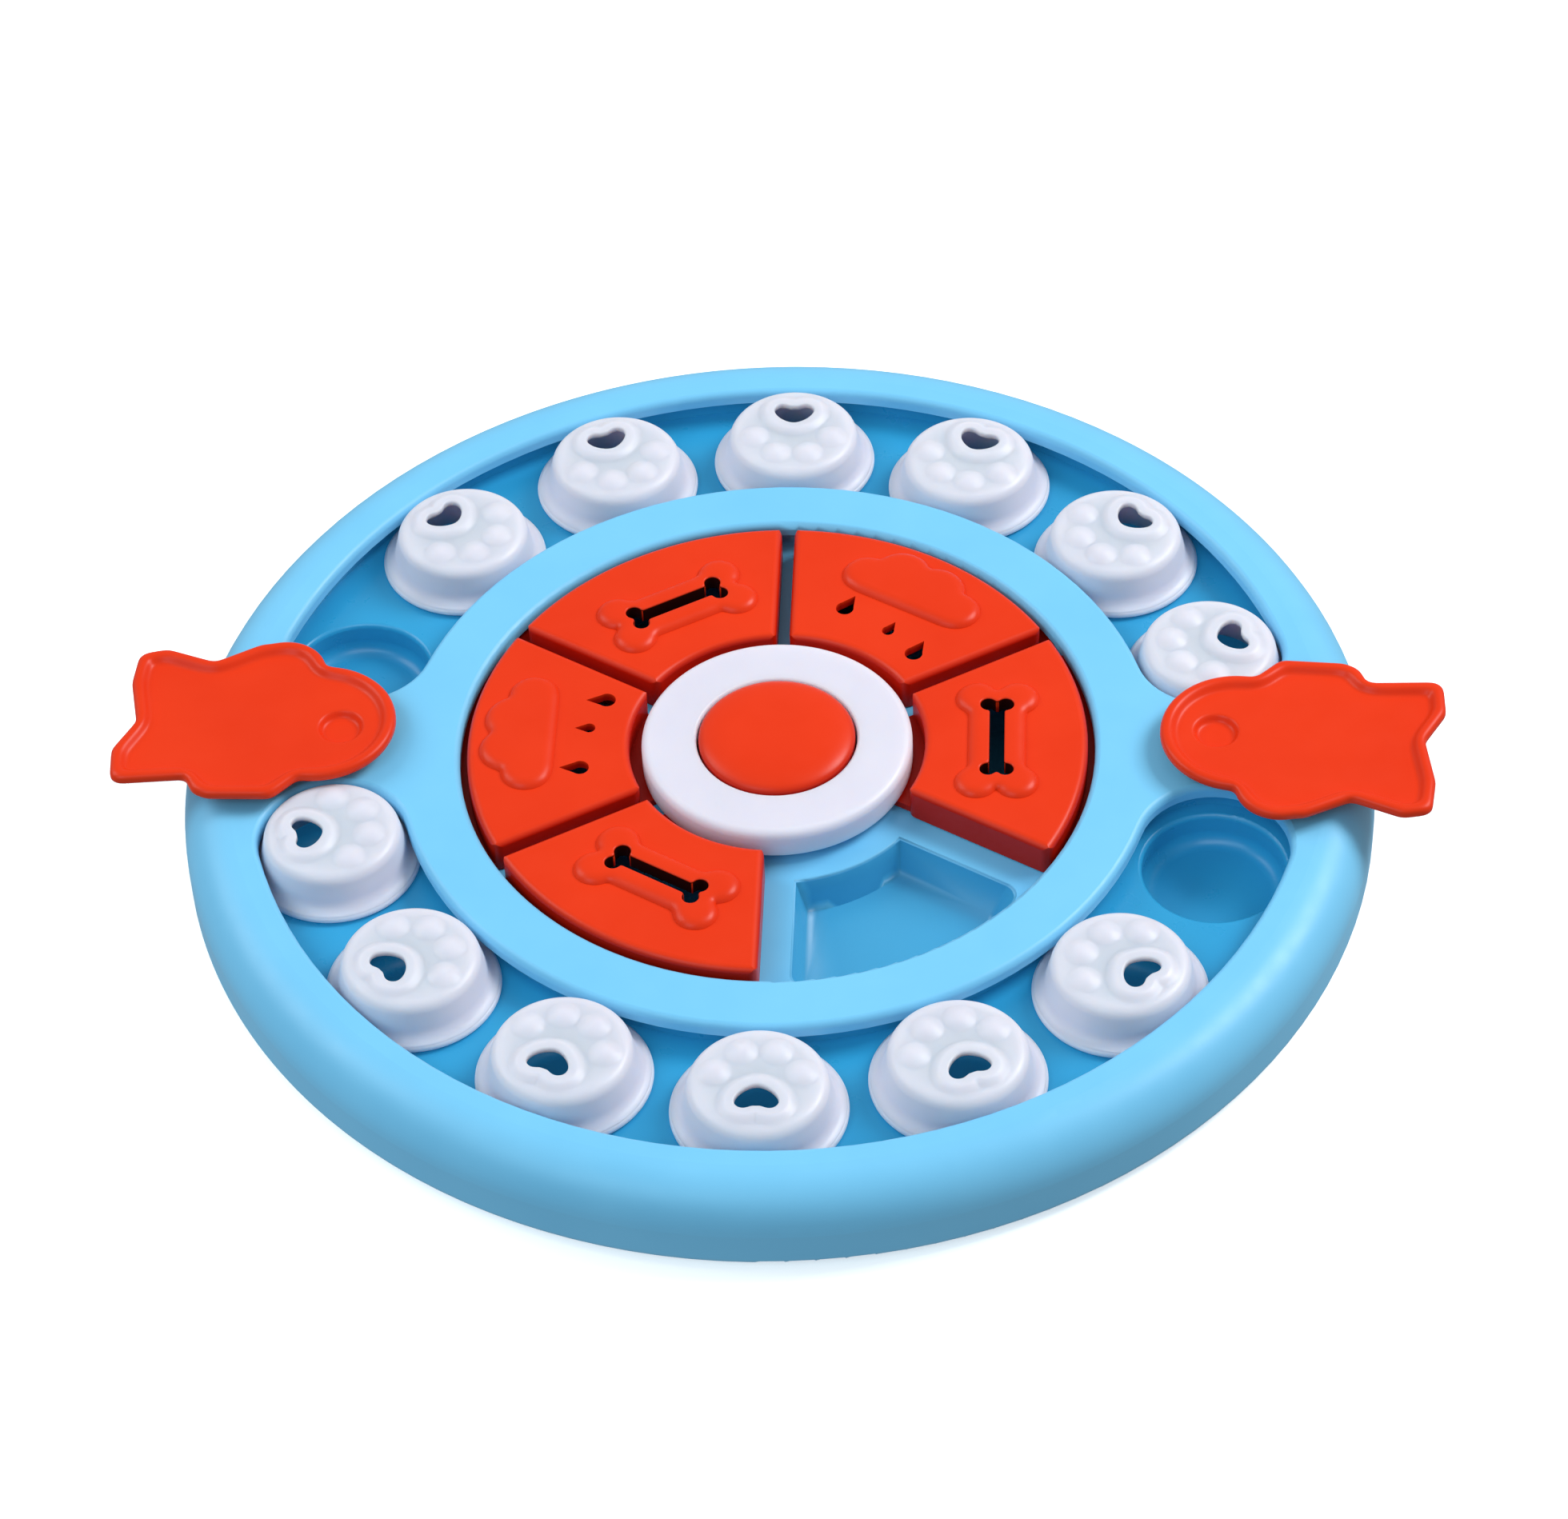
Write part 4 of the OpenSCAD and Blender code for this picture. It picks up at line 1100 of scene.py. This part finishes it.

# %% [markdown]
# ## The bowl's soft corners
# The treat pockets are drawn in the CAD as hulls, so their rounded corners are rows of narrow flat strips. A
# copy of the node with its points merged can be shaded smooth across the strips, and the Weighted Normal
# modifier keeps the large floors flat by letting big faces decide. The pockets' walls shade each other, so
# painted shade deepens the bowl's blue below the ledge round them.

# %% Smooth copy of the pocket bowl
def smooth_copy(node, name, finish, crease):
    """A merged, smooth-shaded copy of a CAD node, in the node's own place."""
    bm = bmesh.new()
    bm.from_mesh(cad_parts[node].data)
    bmesh.ops.remove_doubles(bm, verts=bm.verts, dist=1e-6)
    mesh = bpy.data.meshes.new(name)
    bm.to_mesh(mesh)
    bm.free()
    mesh.shade_smooth()
    mesh.set_sharp_from_angle(angle=math.radians(crease))
    copy = add_object(name, mesh, finish)
    weighted = copy.modifiers.new("Flat faces first", "WEIGHTED_NORMAL")
    weighted.keep_sharp = True
    return copy


POCKET_SHADE_Z = (11.9, 12.5)
bowl_blue = moulded_plastic("bowl_blue", (0.17, 0.57, 0.9), (0.155, 0.545, 0.875), SMOOTH)
# Painted shade: the pockets below the ledge get a deeper blue.
paint_shade_below(bowl_blue, (0.055, 0.37, 0.63), POCKET_SHADE_Z)
bowl = smooth_copy("pocket_bowl", "treat_pocket_bowl", bowl_blue, 30)
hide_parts("pocket_bowl")
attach(bowl, "tray")
print("bowl copy:", len(bowl.data.polygons), "faces")

# %% [markdown]
# ## Floor and light
# The photograph was taken on seamless white under broad soft lights. The floor is one very wide plane, so
# that no horizon shows from low views, nearly white, with the faintest mottling of matt paper. It lies a hair
# under the feet's soles, because two faces in one place flicker. A softbox to the right gives the main light,
# a weaker one to the left and a cool fill from the front open the shadows, and a pale surround does the rest.
# Thin white plastic lets some light down into the cups, which a renderer doesn't carry through the hollow
# knobs. So a fourth lamp is linked to the troughs alone and shaded by the cover alone, and the scent holes
# look blue.

# %% Floor
def paper_white():
    finish = moulded_plastic("floor_paper", (0.96, 0.965, 0.96), (0.945, 0.95, 0.948), (0.8, 0.95), 0.05)
    shader = finish.node_tree.nodes["Principled BSDF"]
    shader.inputs["Emission Color"].default_value = (1, 1, 1, 1)
    shader.inputs["Emission Strength"].default_value = 0.5
    return finish


FLOOR_HALF = 40.0
FLOOR_DROP = 0.1 * MM
corners = [(x * FLOOR_HALF, y * FLOOR_HALF, -FLOOR_DROP) for x, y in ((-1, -1), (1, -1), (1, 1), (-1, 1))]
floor_mesh = bpy.data.meshes.new("studio_floor")
floor_mesh.from_pydata(corners, [], [(0, 1, 2, 3)])
floor = add_object("studio_floor", floor_mesh, paper_white())
floor.visible_diffuse = False
floor.visible_glossy = False
print("floor width in m:", 2 * FLOOR_HALF)

# %% Lights
def softbox(name, place, size, power, colour):
    """A square area light that looks at the tray."""
    lamp = bpy.data.lights.new(name, "AREA")
    lamp.shape = "SQUARE"
    lamp.size = size
    lamp.energy = power
    lamp.color = colour
    light = bpy.data.objects.new(name, lamp)
    light.location = place
    light.rotation_euler = (-Vector(place)).to_track_quat("-Z", "Y").to_euler()
    bpy.context.scene.collection.objects.link(light)
    return light


softbox("right_softbox", (1.15, 0.5, 1.25), 0.75, 22, (1, 1, 1))
softbox("left_softbox", (-1.25, 0.3, 1.1), 0.9, 9, (1, 1, 1))
softbox("front_fill", (-0.75, -1.1, 1.3), 1.0, 8, (0.55, 0.86, 1.0))

# %% Light through the knobs
glow = softbox("light_through_knobs", (0.1, -0.9, 1.2), 0.8, 6, (0.8, 0.92, 1.0))
lit = bpy.data.collections.new("lit_through_knobs")
shading = bpy.data.collections.new("shading_the_cups")
for node in ("rear_trough", "front_trough"):
    lit.objects.link(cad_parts[node])
shading.objects.link(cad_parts["top_cover"])
glow.light_linking.receiver_collection = lit
glow.light_linking.blocker_collection = shading

# %% Surround
SURROUND = 0.38
world = bpy.data.worlds.new("studio_surround")
bpy.context.scene.world = world
world.use_nodes = True
sky = world.node_tree.nodes["Background"]
sky.inputs["Color"].default_value = (0.97, 0.98, 1.0, 1)
sky.inputs["Strength"].default_value = SURROUND
bpy.context.scene.view_settings.view_transform = "Standard"
bpy.context.scene.view_settings.look = "None"
print("surround:", SURROUND)
